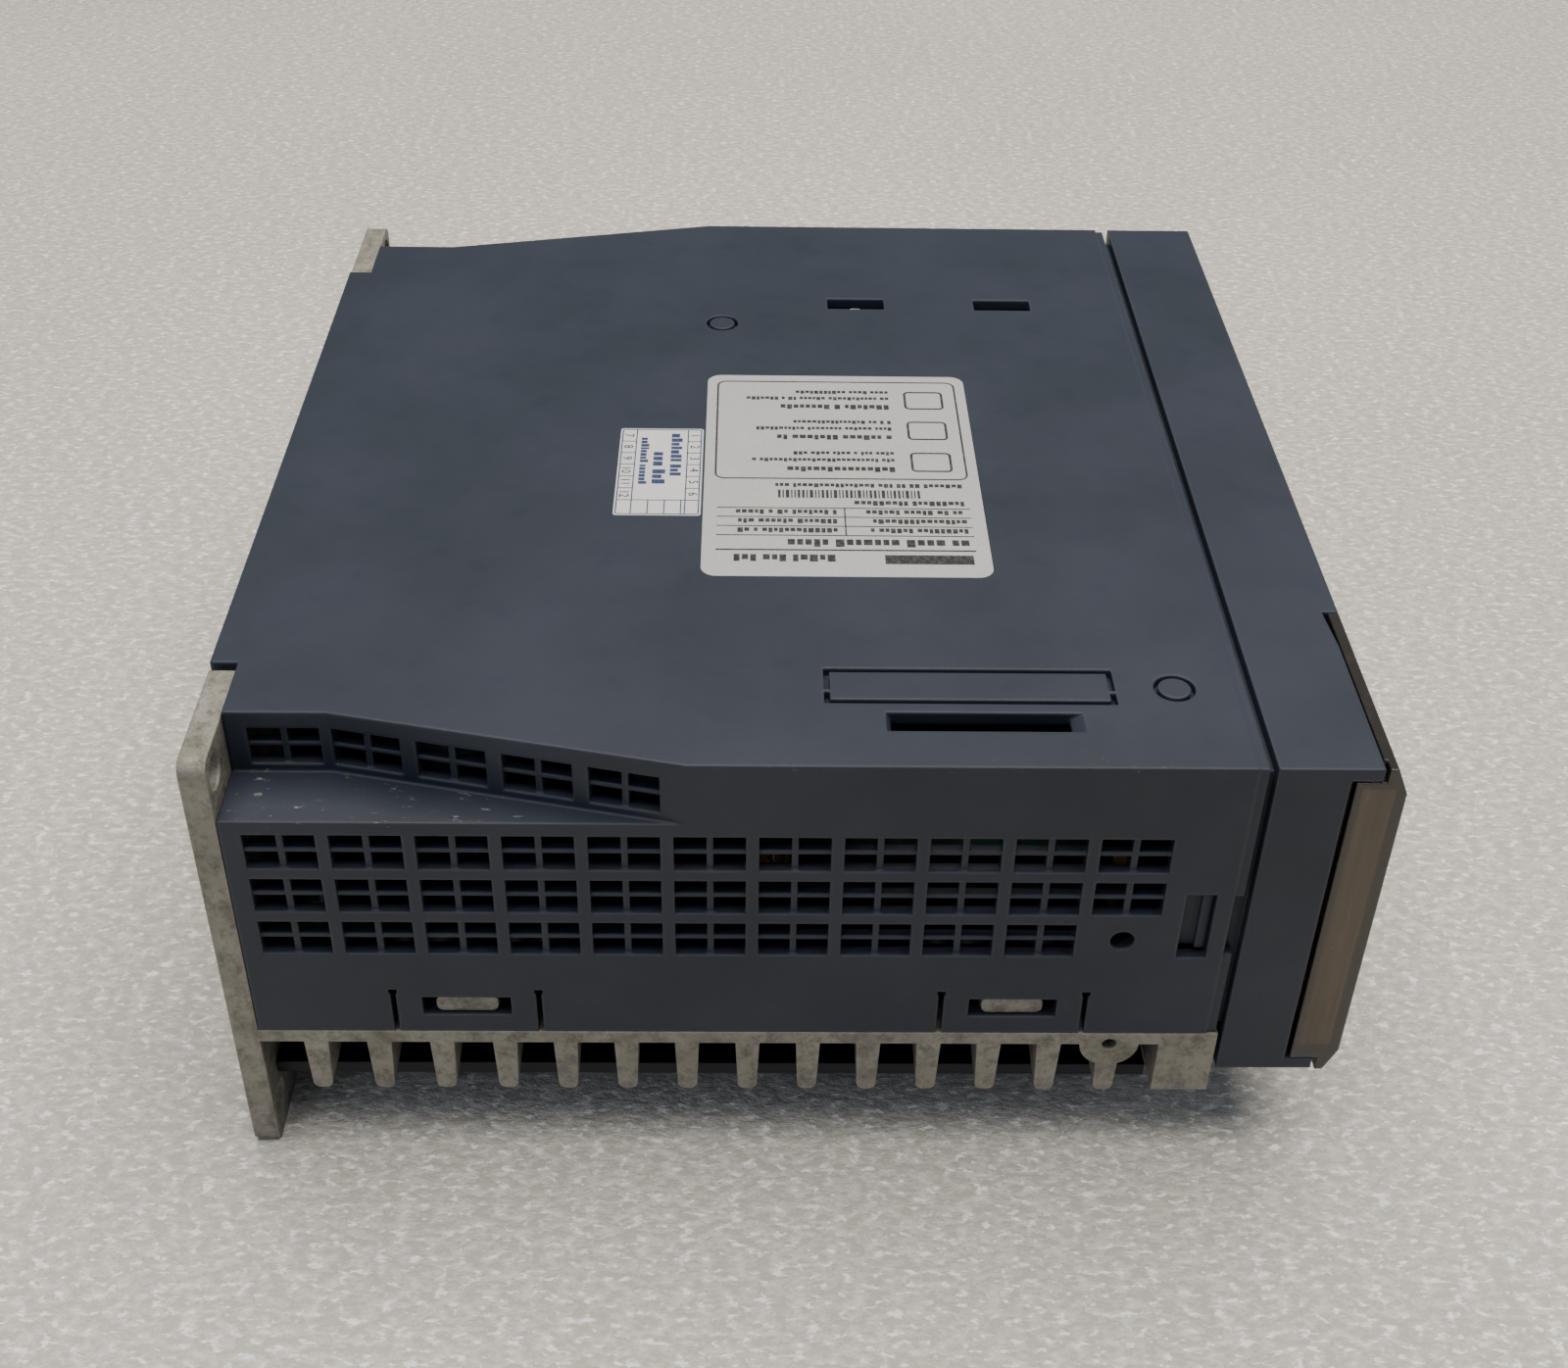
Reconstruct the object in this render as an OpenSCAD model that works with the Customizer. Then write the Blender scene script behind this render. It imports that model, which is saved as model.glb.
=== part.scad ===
// Book-style servo drive lying on its heatsink side, label side up.
// The installed top of the drive points along -X, its front along -Y and its
// mounting flange along +Y. A "depth" is measured from the flange's back face.

/* [Drive] */
// Installed height, along X
drive_h = 185; // [170:1:222]
// Depth from the mounting face to the front of the flip cover
drive_d = 182; // [176:0.1:219]
// Width across the flange, up to the label side
drive_w = 84.5; // [81:0.5:110]

/* [Heatsink casting] */
// Thickness of the mounting flange
flange_t = 4.2; // [3:0.1:6]
// How far the flange's ears stay below the label side
flange_drop = 0.7; // [0.3:0.1:2]
// Height of the base plate's inner face above the flange's lower edge
base_top = 27.9; // [24:0.1:30]
// Thickness of the base plate
base_t = 2.6; // [2:0.1:4]
// Height of the cooling fins
fin_h = 11; // [8:0.1:13]
// Number of cooling fins
fin_count = 14; // [10:1:14]
// Spacing of the fins
fin_pitch = 9.95; // [8:0.01:10]
// Depth of the first fin's middle
fin_first = 13.35; // [13:0.05:15]
// Extra spacing after each of the first three fins
fin_lead = 0.35; // [0:0.05:0.5]
// Thickness of a fin at its root
fin_root = 4; // [3:0.1:5]
// Thickness of a fin at its tip
fin_tip = 3.2; // [2.5:0.1:3.9]
// Thickness of the solid bar that ends the row of fins
end_bar_t = 9.4; // [7:0.1:10]
// Radius of the cast boss on the last fin
boss_r = 4.9; // [4.5:0.1:6]
// Diameter of the tapped hole in the boss
boss_tap_d = 2.5; // [2:0.1:4]
// Length of the tapped hole in the boss
boss_tap_l = 9; // [6:0.5:12]
// Diameter of the four mounting holes
mount_d = 6; // [4:0.1:6.5]
// Spacing of the mounting holes along the height
mount_span_x = 176; // [160:0.5:180]
// Spacing of the mounting holes along the width
mount_span_z = 72.4; // [66:0.1:74]
// Height of the lower mounting holes above the flange's lower edge
mount_low = 6.9; // [6:0.1:9]

/* [Duct plate] */
// Thickness of the plate that closes the fin channels
duct_t = 2.5; // [1.5:0.1:4]
// How far the plate's ends stay inside the fins' ends
duct_inset = 5.5; // [3:0.5:12]

/* [Housing] */
// Wall thickness of the plastic shells
wall = 2.2; // [1.6:0.1:2.6]
// Gap left at the seams between shells
seam = 0.2; // [0.1:0.05:0.4]
// Depth of the housing's front edge
housing_front = 161; // [158:0.5:161]
// Gap between the housing and the front cover
cover_gap = 1.2; // [0.8:0.1:2]
// How far the rear corners are cut in for the mounting screws
recess_in = 12; // [10:0.5:14]
// Depth at which the cut-in side starts to slope outwards
recess_flat = 20; // [16:0.5:26]
// Depth at which the sloped side reaches full height
recess_end = 74.7; // [66:0.1:80]
// Distance from the label side down to the ledge of the cut-in corners
ledge_drop = 11.5; // [9:0.5:13]
// Half length of the tongue that covers the flange's edge
tongue_half = 68; // [60:0.5:70]
// Height and width of the rebate along the front edge
rebate = 0.35; // [0.2:0.05:0.6]
rebate_w = 1.5; // [1:0.1:2.5]

/* [Vents] */
// Spacing of the vent groups along the depth
vent_pitch = 13; // [12.4:0.1:13.2]
// Number of vent groups in a full row
vent_count = 11; // [8:1:11]
// Depth at which the first group starts
vent_first = 7.6; // [7:0.1:9]
// Width of one vent hole along the depth
vent_w = 5; // [4:0.1:5.2]
// Height of one vent hole
vent_h = 3.15; // [2:0.05:3.2]
// Width of the upright bar inside a group
vent_bar = 1; // [0.8:0.1:1.4]
// Width of the level bar inside a group
vent_rib = 0.7; // [0.5:0.1:1]
// How far the bars are set back behind the face
vent_sunk = 0.6; // [0.3:0.1:0.9]
// Corner radius of a group
vent_r = 0.5; // [0.2:0.1:1]
// Spacing of the vent groups along the sloped side
slope_pitch = 13.5; // [12.4:0.1:13.8]
// Distance from the label side down to the first row
vent_row_drop = 14; // [13.5:0.1:16]
// Spacing of the rows
vent_row_pitch = 9; // [8.4:0.1:9.4]
// Diameter of the round hole that ends the third row
pilot_d = 3.9; // [3:0.1:5]

/* [Label side] */
// Thickness of the rating label
label_t = 0.12; // [0.08:0.01:0.2]
// Size of the rating label along the depth and the height
label_u = 49; // [40:0.5:60]
label_x = 68.4; // [55:0.5:80]
// Corner radius of the rating label
label_r = 2.6; // [1:0.1:4]
// Size of the small service sticker
sticker_u = 15.2; // [10:0.1:20]
sticker_x = 29.5; // [20:0.1:36]
// Depth of the moulded outline grooves
groove_deep = 1.6; // [0.3:0.1:1.8]
// Width of the moulded outline grooves
groove_w = 0.95; // [0.4:0.05:1.2]
// Width of the ring grooves round the knock-outs
ring_w = 0.75; // [0.4:0.05:1]

/* [Snap windows] */
// Width and height of the windows for the cast lugs
snap_w = 14.3; // [12:0.1:16]
snap_h = 4.1; // [3.6:0.1:5]
// Half distance between the slits beside a window
snap_slit = 11.7; // [10:0.1:13]
// Width of the slits
slit_w = 0.9; // [0.6:0.1:1.4]
// Width and height of the cast lug inside a window
lug_w = 9.9; // [8:0.1:11]
lug_h = 3.3; // [2.5:0.1:3.5]
// Corner radius of the cast lug
lug_r = 1.2; // [0.5:0.1:1.2]

/* [Front cover] */
// How far the flip cover stands proud of the front cover
flip_proud = 2; // [1.5:0.1:2.5]
// Height of the front cover's lower edge above the flange's lower edge
cover_low = 19.8; // [18:0.1:22]
// Length of the flip cover along the height
flip_len = 39.9; // [36:0.1:44]
// Wall of the flip cover
flip_wall = 1.7; // [1.4:0.1:2]
// Width of the chamfers along the flip cover's long edges
flip_chamfer = 4.6; // [3:0.1:6]
// Diameter of the flip cover's hinge pins
pin_d = 1.5; // [1.2:0.1:2]
// Radial clearance of the hinge pins in the flip cover
pin_clear = 0.05; // [0.02:0.01:0.08]

/* [Operator panel] */
// Thickness of the operator panel
panel_t = 2; // [1.5:0.1:2.5]
// Distance from the front cover's face back to the operator panel
panel_sunk = 8; // [7.5:0.1:9]
// Length and width of a key
key_z = 9; // [7:0.1:10]
key_x = 6; // [5:0.1:8]
// Spacing of the keys
key_pitch = 13; // [12:0.1:14]
// Number of keys
key_count = 4;
// Travel of a key
key_travel = 0.5; // [0.3:0.05:0.6]
// Clearance around a key
key_clear = 0.2; // [0.15:0.05:0.3]
// Display window along the width and the height
window_z = 41; // [36:0.5:44]
window_x = 15; // [12:0.5:17]

/* [Front connectors] */
// Length of the signal connector's body
io_len = 50; // [44:0.5:52]
// Length of the encoder connector's body
encoder_len = 28; // [24:0.5:30]
// Size of a communication socket's body
comm_len = 15; // [14:0.5:15.5]
// Spacing of the power header's pins
power_pitch = 7.62; // [7:0.01:8]
// Gap around connectors in the front cover
bezel_gap = 0.4; // [0.3:0.05:0.8]

/* [Boards] */
// Thickness of the circuit boards
board_t = 1.6; // [1.2:0.1:2]
// Height of the standoffs under the power board
low_post = 12.5; // [11:0.5:13]
// Height of the standoffs between the two boards
high_post = 18.4; // [18:0.1:20]

/* [Fan] */
// Side of the square fan frame
fan_side = 50; // [40:1:50]
// Thickness of the fan frame
fan_t = 15; // [10:1:15]
// Diameter of the fan's air passage
fan_bore = 47; // [36:1:47]
// Depth of the fan's middle
fan_u = 94; // [92:1:96]

/* [Hidden] */
$fn = 48;
eps = 0.01;
plastic = "#3c4450";
cast_grey = "#97948a";
half = drive_h / 2;
label_z = drive_w;
base_low = base_top - base_t;
tip_z = base_low - fin_h;
ledge_z = label_z - ledge_drop;
back_u = flange_t + seam;
cast_front = housing_front + 0.4;
cover_back = housing_front + cover_gap;
cover_front = drive_d - flip_proud;
ramp_tilt = atan(recess_in / (recess_end - recess_flat));
wall_slant = wall / cos(ramp_tilt);
last_fin = fin_u(fin_count - 1);
end_bar_u = cast_front - end_bar_t;
tab_us = [38.7, 127];
tab_z = label_z - 48.7 - snap_h;
flip_end = -half + flip_len;
hinge_x = -half + 1.55;
hinge_u = drive_d - 6.1;
body_rim = cover_front - 2;
panel_front = cover_front - panel_sunk;
panel_back = panel_front - panel_t;
display_board_u = panel_back - 6.5;
display_x = -half + 12.5;
key_row_x = -half + 30.2;
mid_z = (cover_low + label_z) / 2;
power_z = base_top + low_post;
power_top = power_z + board_t;
control_z = power_top + high_post;
control_top = control_z + board_t;
board_x0 = -half + 8;
board_x1 = half - 22;
board_front = 158;
fan_x1 = half - wall - 2;
fan_x0 = fan_x1 - fan_t;
fan_z = (base_top + label_z - wall) / 2;
fan_hole = fan_side / 2 - 4;
pipe_dz = 26;
header_h = 18;
header_pin_z = power_z - 0.7;
header_z0 = header_pin_z + 0.2 - header_h / 2;
header_z1 = header_z0 + header_h;
header_x0 = flip_end + 8.6;
header_gap = 6;
supply_poles = 8;
motor_poles = 3;
header_wall = 2.5;
connector_h = 11.6;
comm_x0 = flip_end + 4.6;
comm_step = comm_len + 2;
io_x0 = comm_x0 + 2 * comm_step + 2;
encoder_x0 = io_x0 + io_len + 6;
post_us = [14, 88, 145];
high_post_us = [88, 145];
post_inset = 5;
cap_d = 22;
cap_h = 34;
cap_count = 3;
cap_pitch = 25;

// Y of a depth measured from the mounting face.
function at(u) = drive_d / 2 - u;

// Depth of the middle of fin k, counted from the flange.
function fin_u(k) = fin_first + k * fin_pitch + min(k, 3) * fin_lead;

// Box between pairs of limits along X, the depth and Z.
module block(x, u, z)
    translate([x[0], at(u[1]), z[0]])
        cube([x[1] - x[0], u[1] - u[0], z[1] - z[0]]);

// Rods along Z, along the depth and along X.
module rod_z(x, u, z, d)
    translate([x, at(u), z[0]])
        cylinder(h = z[1] - z[0], d = d);
module rod_u(x, u, z, d)
    translate([x, at(u[0]), z])
        rotate([90, 0, 0])
            cylinder(h = u[1] - u[0], d = d);
module rod_x(x, u, z, d)
    translate([x[0], at(u), z])
        rotate([0, 90, 0])
            cylinder(h = x[1] - x[0], d = d);

// Prism over an outline in the X and depth plane.
module slab(points, z)
    translate([0, 0, z[0]])
        linear_extrude(z[1] - z[0])
            polygon([for (p = points) [p[0], at(p[1])]]);

// Prism along X over an outline of depth and Z.
module bar_x(points, x)
    translate([x[0], 0, 0])
        rotate([90, 0, 90])
            linear_extrude(x[1] - x[0])
                polygon([for (p = points) [at(p[0]), p[1]]]);

// Flat plate with round corners, lying on its back face.
module round_plate(w, l, t, r)
    linear_extrude(t)
        union() {
            square([w - 2 * r, l], center = true);
            square([w, l - 2 * r], center = true);
            for (sx = [-1, 1], sy = [-1, 1])
                translate([sx * (w / 2 - r), sy * (l / 2 - r)])
                    circle(r);
        }

module both_ends()
    for (side = [0, 1])
        mirror([side, 0, 0])
            children();

/* ---- Heatsink ---- */

module flange_plate()
    difference() {
        translate([0, at(0), (label_z - flange_drop) / 2])
            rotate([90, 0, 0])
                round_plate(drive_h, label_z - flange_drop, flange_t, 2.2);
        block([-tongue_half - 1.2, tongue_half + 1.2], [-1, flange_t + 1],
            [label_z - wall - 0.9, label_z]);
    }

// One fin, with a drafted blade and a round tip.
module fin(u)
    translate([-half, at(u), tip_z])
        rotate([90, 0, 90])
            linear_extrude(drive_h)
                union() {
                    polygon([[-fin_root / 2, fin_h + 0.5], [-fin_tip / 2, 1.2],
                        [-fin_tip / 2 + 1.2, 0], [fin_tip / 2 - 1.2, 0],
                        [fin_tip / 2, 1.2], [fin_root / 2, fin_h + 0.5]]);
                    for (s = [-1, 1])
                        translate([s * (fin_tip / 2 - 1.2), 1.2])
                            circle(1.2);
                }

// Post and lug that hold one snap tab of the housing.
module snap_lug(u) {
    block([-half + wall + 0.3, -half + wall + 3.5], [u - lug_w / 2, u + lug_w / 2],
        [base_top - 0.5, tab_z + snap_h - 0.4]);
    translate([-half + 0.7, at(u), tab_z + 0.4 + lug_h / 2])
        rotate([90, 0, 90])
            round_plate(lug_w, lug_h, wall + 0.3, lug_r);
}

// Bosses beside the flange and in the end bar that take the duct plate's screws.
duct_screw_x = 55;
duct_screw_us = [flange_t + 3.2, end_bar_u + end_bar_t / 2];

module heatsink()
    color(cast_grey)
        difference() {
            union() {
                flange_plate();
                block([-half, half], [flange_t - 1, cast_front], [base_low, base_top]);
                for (k = [0 : fin_count - 1])
                    fin(fin_u(k));
                block([-half, half - ground_step], [end_bar_u, cast_front],
                    [tip_z, base_low + 0.5]);
                both_ends()
                    intersection() {
                        rod_x([-half, -half + 12], last_fin, base_low, 2 * boss_r);
                        block([-half, 0], [last_fin - 9, last_fin + 9], [tip_z, base_top]);
                    }
                for (x = [-duct_screw_x, duct_screw_x])
                    rod_z(x, duct_screw_us[0], [tip_z, base_low + 0.5], 6);
                both_ends()
                    for (u = tab_us)
                        snap_lug(u);
            }
            for (sx = [-1, 1], z = [mount_low, mount_low + mount_span_z])
                rod_u(sx * mount_span_x / 2, [-1, flange_t + 1], z, mount_d);
            rod_x([-half - 1, -half + boss_tap_l], last_fin, base_low, boss_tap_d);
            block([half - ground_step, half + 1], [last_fin - 8, cast_front + 1],
                [tip_z - 1, base_top + 1]);
            for (u = ground_us)
                rod_x([half - ground_len - 1, half + 1], u, ground_z, ground_d);
            for (x = [-duct_screw_x, duct_screw_x], u = duct_screw_us)
                rod_z(x, u, [tip_z - 1, tip_z + 8], 2.5);
            for (p = module_screw_spots)
                rod_z(p[0], p[1], [base_low - 1, base_top + 1], 3);
        }

module duct_plate()
    color("#20283a")
        difference() {
            union() {
                block([-half + duct_inset, half - duct_inset], [flange_t + 0.2, end_bar_u - 0.2],
                    [tip_z - duct_t, tip_z]);
                for (x = [-duct_screw_x, duct_screw_x])
                    block([x - 7, x + 7], [end_bar_u - 1, cast_front - 0.5],
                        [tip_z - duct_t, tip_z]);
            }
            for (x = [-duct_screw_x, duct_screw_x], u = duct_screw_us)
                rod_z(x, u, [tip_z - duct_t - 1, tip_z + 1], 3.2);
        }

module duct_screws()
    color("silver")
        for (x = [-duct_screw_x, duct_screw_x], u = duct_screw_us)
            union() {
                rod_z(x, u, [tip_z - duct_t - 1.8, tip_z - duct_t], 5.5);
                rod_z(x, u, [tip_z - duct_t - eps, tip_z + 6], 2.5);
            }

// Earth screws with washers on the stepped-back far end of the casting.
ground_z = (tip_z + base_low) / 2 + 0.6;
ground_us = [last_fin, end_bar_u + end_bar_t / 2];
ground_step = 4;
ground_len = 13;
ground_d = 4;
module ground_screws()
    color("silver")
        for (u = ground_us)
            difference() {
                union() {
                    rod_x([half - ground_len, half - ground_step + 0.1], u, ground_z,
                        ground_d - 0.1);
                    rod_x([half - ground_step, half - ground_step + 0.8], u, ground_z, 8);
                    rod_x([half - ground_step + 0.7, half - 0.9], u, ground_z, 7);
                }
                block([half - 1.9, half], [u - 0.5, u + 0.5], [ground_z - 2.6, ground_z + 2.6]);
                block([half - 1.9, half], [u - 2.6, u + 2.6], [ground_z - 0.5, ground_z + 0.5]);
            }

/* ---- Housing ---- */

// Plan outline of the housing's upper part, shrunk by "in" on the sloped sides.
function upper_plan(in, u0, u1) = [
    [-half + recess_in + in, u0], [-half + recess_in + in, recess_flat],
    [-half + in, recess_end], [-half + in, u1],
    [half - in, u1], [half - in, recess_end],
    [half - recess_in - in, recess_flat], [half - recess_in - in, u0]];

group_w = 2 * vent_w + vent_bar;
group_h = 2 * vent_h + vent_rib;

// One group of four vent holes cut into a wall whose face is the plane X = 0, with its
// corner at Y = 0 and Z = 0, its width along -Y and its height along -Z.
module vent_group() {
    translate([-1, -group_w / 2, -group_h / 2])
        rotate([90, 0, 90])
            round_plate(group_w, group_h, 1 + vent_sunk, vent_r);
    for (i = [0, 1], j = [0, 1])
        translate([0, -i * (vent_w + vent_bar) - vent_w, -j * (vent_h + vent_rib) - vent_h])
            cube([wall + 1, vent_w, vent_h]);
}

module vent_rows(rows)
    for (row = [0 : 2], k = rows[row])
        translate([-half, at(vent_first + k * vent_pitch),
            label_z - vent_row_drop - row * vent_row_pitch])
            vent_group();

// Vent groups of the straight and the sloped stretch of a cut-in corner.
slope_vents = 4;
slope_start = 0.4;
recess_vent_z = label_z - 3;
module recess_vents() {
    translate([-half + recess_in, at(vent_first), recess_vent_z])
        vent_group();
    translate([-half + recess_in, at(recess_flat), recess_vent_z])
        rotate([0, 0, -ramp_tilt])
            for (k = [0 : slope_vents - 1])
                translate([0, -slope_start - k * slope_pitch, 0])
                    vent_group();
}

// Slits and window of one snap tab. A slit widens at its upper end.
slit_top = label_z - 47;
slit_end = slit_w + 0.5;
module snap_tab_cut(u) {
    block([-half - 1, -half + wall + 1], [u - snap_w / 2, u + snap_w / 2],
        [tab_z, tab_z + snap_h]);
    for (s = [-1, 1]) {
        block([-half - 1, -half + wall + 1],
            [u + s * snap_slit - slit_w / 2, u + s * snap_slit + slit_w / 2],
            [base_top, slit_top]);
        block([-half - 1, -half + wall + 1],
            [u + s * snap_slit - slit_end / 2, u + s * snap_slit + slit_end / 2],
            [slit_top - 1, slit_top]);
    }
}

// Ring groove that outlines a round knock-out on the label side.
module ring_groove(x, u, d)
    difference() {
        rod_z(x, u, [label_z - groove_deep, label_z + 1], d);
        rod_z(x, u, [label_z - groove_deep - 1, label_z + 2], d - 2 * ring_w);
    }

// Grooves and slots moulded into the label side.
module label_side_cuts() {
    ring_groove(46.8, 78.1, 6.4);
    ring_groove(-73.05, 149.8, 6.6);
    difference() {
        block([-77.3, -68.5], [95.4, 140.5], [label_z - groove_deep, label_z + 1]);
        block([-77.3 + groove_w, -68.5 - groove_w], [95.4 + groove_w, 140.5 - groove_w],
            [label_z - groove_deep - 1, label_z + 2]);
        block([-74.4, -73.8], [95, 141], [label_z - groove_deep - 1, label_z + 2]);
    }
    for (u = [99.5, 129.5])
        block([53.5, 58], [u, u + 11.6], [label_z - wall - 1, label_z + 1]);
    slot_cut();
}

// Slot near the installed top, with ends that slope down to it.
slot_x = [-84, -79.5];
slot_u = [105.4, 132.9];
slot_bevel = 1.2;
module slot_cut() {
    block(slot_x, slot_u, [label_z - wall - 1, label_z]);
    bar_x([[slot_u[0] - 0.8, label_z + 1], [slot_u[0] - 0.8, label_z],
        [slot_u[0], label_z - slot_bevel], [slot_u[1], label_z - slot_bevel],
        [slot_u[1] + 2, label_z], [slot_u[1] + 2, label_z + 1]], slot_x);
}

// Round grille in front of the fan, in the X = half face.
module fan_grille_cut()
    difference() {
        rod_x([half - wall - 1, half + 1], fan_u, fan_z, fan_bore - 3);
        rod_x([half - wall - 2, half + 2], fan_u, fan_z, 14);
        for (d = [22, 30, 38])
            difference() {
                rod_x([half - wall, half], fan_u, fan_z, d);
                rod_x([half - wall - 1, half + 1], fan_u, fan_z, d - 2.2);
            }
        for (a = [0, 60, 120])
            translate([half - wall / 2, at(fan_u), fan_z])
                rotate([a + 15, 0, 0])
                    cube([wall, fan_bore, 2], center = true);
    }

// Fixings for the fan on the inner side of the wall.
module fan_bosses()
    for (su = [-1, 1], sz = [-1, 1])
        rod_x([fan_x1 + 0.05, half - wall + eps], fan_u + su * fan_hole, fan_z + sz * fan_hole, 6);

module housing_shell()
    difference() {
        union() {
            block([-half, half], [back_u, housing_front], [base_top + seam, ledge_z]);
            slab(upper_plan(0, back_u, housing_front), [ledge_z - 0.5, label_z]);
            block([-tongue_half, tongue_half], [0, back_u + 1], [label_z - wall, label_z]);
        }
        block([-half + wall, half - wall], [0, housing_front + 1],
            [base_top - 1, ledge_z - wall]);
        slab(upper_plan(wall_slant, back_u - 1, housing_front + 1),
            [ledge_z - wall - 1, label_z - wall]);
    }

// Shallow rebate round the front edge that the front cover's lip faces.
module front_rebate()
    difference() {
        block([-half - 1, half + 1], [housing_front - rebate_w, housing_front + 1],
            [base_top - 1, label_z + 1]);
        block([-half + rebate, half - rebate], [housing_front - rebate_w - 1, housing_front + 2],
            [base_top - 2, label_z - rebate]);
    }

latch_z = [label_z - 38.6, label_z - 25.9];
latch_window_u = [152, 156.8];

module housing()
    color(plastic)
        difference() {
            union() {
                housing_shell();
                fan_bosses();
            }
            vent_rows([[0 : vent_count - 1], [0 : vent_count - 1], [0 : vent_count - 2]]);
            mirror([1, 0, 0])
                vent_rows([[0 : 4], [0 : 4], [0 : 4]]);
            both_ends()
                recess_vents();
            both_ends()
                for (u = tab_us)
                    snap_tab_cut(u);
            rod_x([-half - 1, -half + wall + 1], 143.1, label_z - 35.4, pilot_d);
            both_ends()
                block([-half - 1, -half + wall + 1], latch_window_u,
                    [label_z - 39.2, label_z - 25.4]);
            both_ends()
                block([-half - 1, -half + wall + 1], [housing_front - 1.5, housing_front + 1],
                    latch_z);
            label_side_cuts();
            front_rebate();
            fan_grille_cut();
            for (su = [-1, 1], sz = [-1, 1])
                rod_x([fan_x1 - 1, half - 0.8], fan_u + su * fan_hole,
                    fan_z + sz * fan_hole, 2.6);
        }

/* ---- Front cover ---- */

// Latch tongue that reaches into the housing, with a tooth at the front of its window.
module latch() {
    block([-half + wall + lip_clear, -half + wall + 1.6],
        [latch_window_u[0] - 2.5, cover_back + 3], [latch_z[0] + 0.4, latch_z[1] - 0.4]);
    block([-half + 1.3, -half + wall + 1], [latch_window_u[1] - 1.8, latch_window_u[1] - 0.2],
        [latch_z[0] + 0.6, latch_z[1] - 0.6]);
}

// Lip that stands in the housing's mouth on three sides, behind the seam, and its foot
// inside the cover's own wall.
lip_clear = 0.15;
lip_t = 1.7;
module seam_lip()
    difference() {
        union() {
            block([-half + wall + lip_clear, half - wall - lip_clear],
                [housing_front - 2.5, cover_back + 1],
                [base_top + 0.5, label_z - wall - lip_clear]);
            block([-half + wall - eps, half - wall + eps], [cover_back + 0.4, cover_back + 1.4],
                [base_top + 0.5, label_z - wall + eps]);
        }
        block([-half + wall + lip_clear + lip_t, half - wall - lip_clear - lip_t],
            [housing_front - 4, cover_back + 2],
            [base_top - 1, label_z - wall - lip_clear - lip_t]);
    }

// Clear openings for the connectors in the front face.
function header_len(poles) = poles * power_pitch + 2 * header_wall;
motor_x0 = header_x0 + header_len(supply_poles) + header_gap;

module front_openings() {
    block([header_x0 - bezel_gap, header_x0 + header_len(supply_poles) + bezel_gap],
        [cover_back, cover_front + 1], [header_z0 - bezel_gap, header_z1 + bezel_gap]);
    block([motor_x0 - bezel_gap, motor_x0 + header_len(motor_poles) + bezel_gap],
        [cover_back, cover_front + 1], [header_z0 - bezel_gap, header_z1 + bezel_gap]);
    for (c = [[io_x0, io_len], [encoder_x0, encoder_len]])
        block([c[0] - bezel_gap, c[0] + c[1] + bezel_gap], [cover_back, cover_front + 1],
            [control_top - bezel_gap, control_top + connector_h + bezel_gap]);
    for (k = [0, 1])
        block([comm_x0 + k * comm_step - bezel_gap,
            comm_x0 + k * comm_step + comm_len + bezel_gap],
            [cover_back, cover_front + 1],
            [control_top - bezel_gap, control_top + comm_h + bezel_gap]);
}

module front_cover()
    color(plastic)
        difference() {
            union() {
                difference() {
                    block([-half, half], [cover_back, cover_front], [cover_low, label_z]);
                    block([-half + wall, half - wall], [cover_back - 1, cover_front - wall],
                        [cover_low + wall, label_z - wall]);
                    block([-half - 1, flip_end + 0.3], [body_rim, cover_front + 1],
                        [cover_low - 1, label_z + 1]);
                    block([-half + wall, flip_end - wall], [panel_back - 2, cover_front + 1],
                        [cover_low + wall, label_z - wall]);
                    block([-half - 1, -half + wall + 1], [hinge_u - 2.6, cover_front],
                        [cover_low + wall, label_z - wall]);
                }
                panel_rim();
                seam_lip();
                both_ends()
                    latch();
            }
            front_openings();
            for (z = [cover_low + wall / 2, label_z - wall / 2])
                rod_z(hinge_x, hinge_u, [z - wall / 2 + 0.9 * (z < mid_z ? 1 : -1) - eps,
                    z + wall / 2 + 0.9 * (z < mid_z ? 1 : -1) + eps], pin_d);
            slab([[flip_end + 0.3, body_rim - 0.7], [flip_end + 0.3, body_rim + 1],
                [flip_end - 9, body_rim + 1], [flip_end - 9, body_rim]],
                [label_z - wall - 1, label_z + 1]);
        }

// Inner rim that the operator panel rests on.
module panel_rim()
    difference() {
        block([-half + wall - eps, flip_end - wall + eps], [panel_back - 1.7, panel_back - 0.1],
            [cover_low + wall - eps, label_z - wall + eps]);
        block([-half + wall + 1.6, flip_end - wall - 1.6], [panel_back - 3, panel_back + 1],
            [cover_low + wall + 1.6, label_z - wall - 1.6]);
    }

// Outline of the flip cover across its width, as depths and heights.
flip_low = cover_low - 0.3;
flip_back = body_rim + 0.3;
flip_edge = drive_d - flip_proud;
function flip_outline(in) = [
    [flip_back - (in > 0 ? 1 : 0), flip_low + in], [flip_edge - in * 0.6, flip_low + in],
    [drive_d - in, flip_low + flip_chamfer + in * 0.6],
    [drive_d - in, label_z - flip_chamfer - in * 0.6],
    [flip_edge - in * 0.6, label_z - in], [flip_back - (in > 0 ? 1 : 0), label_z - in]];
knuckle_r = pin_d / 2 + 0.8;
// Skirts near the hinge stay this much higher, to pass the corner as the cover swings.
swing_relief = 0.45;
lip_z = [cover_low + wall + 0.35, label_z - wall - 0.35];

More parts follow.
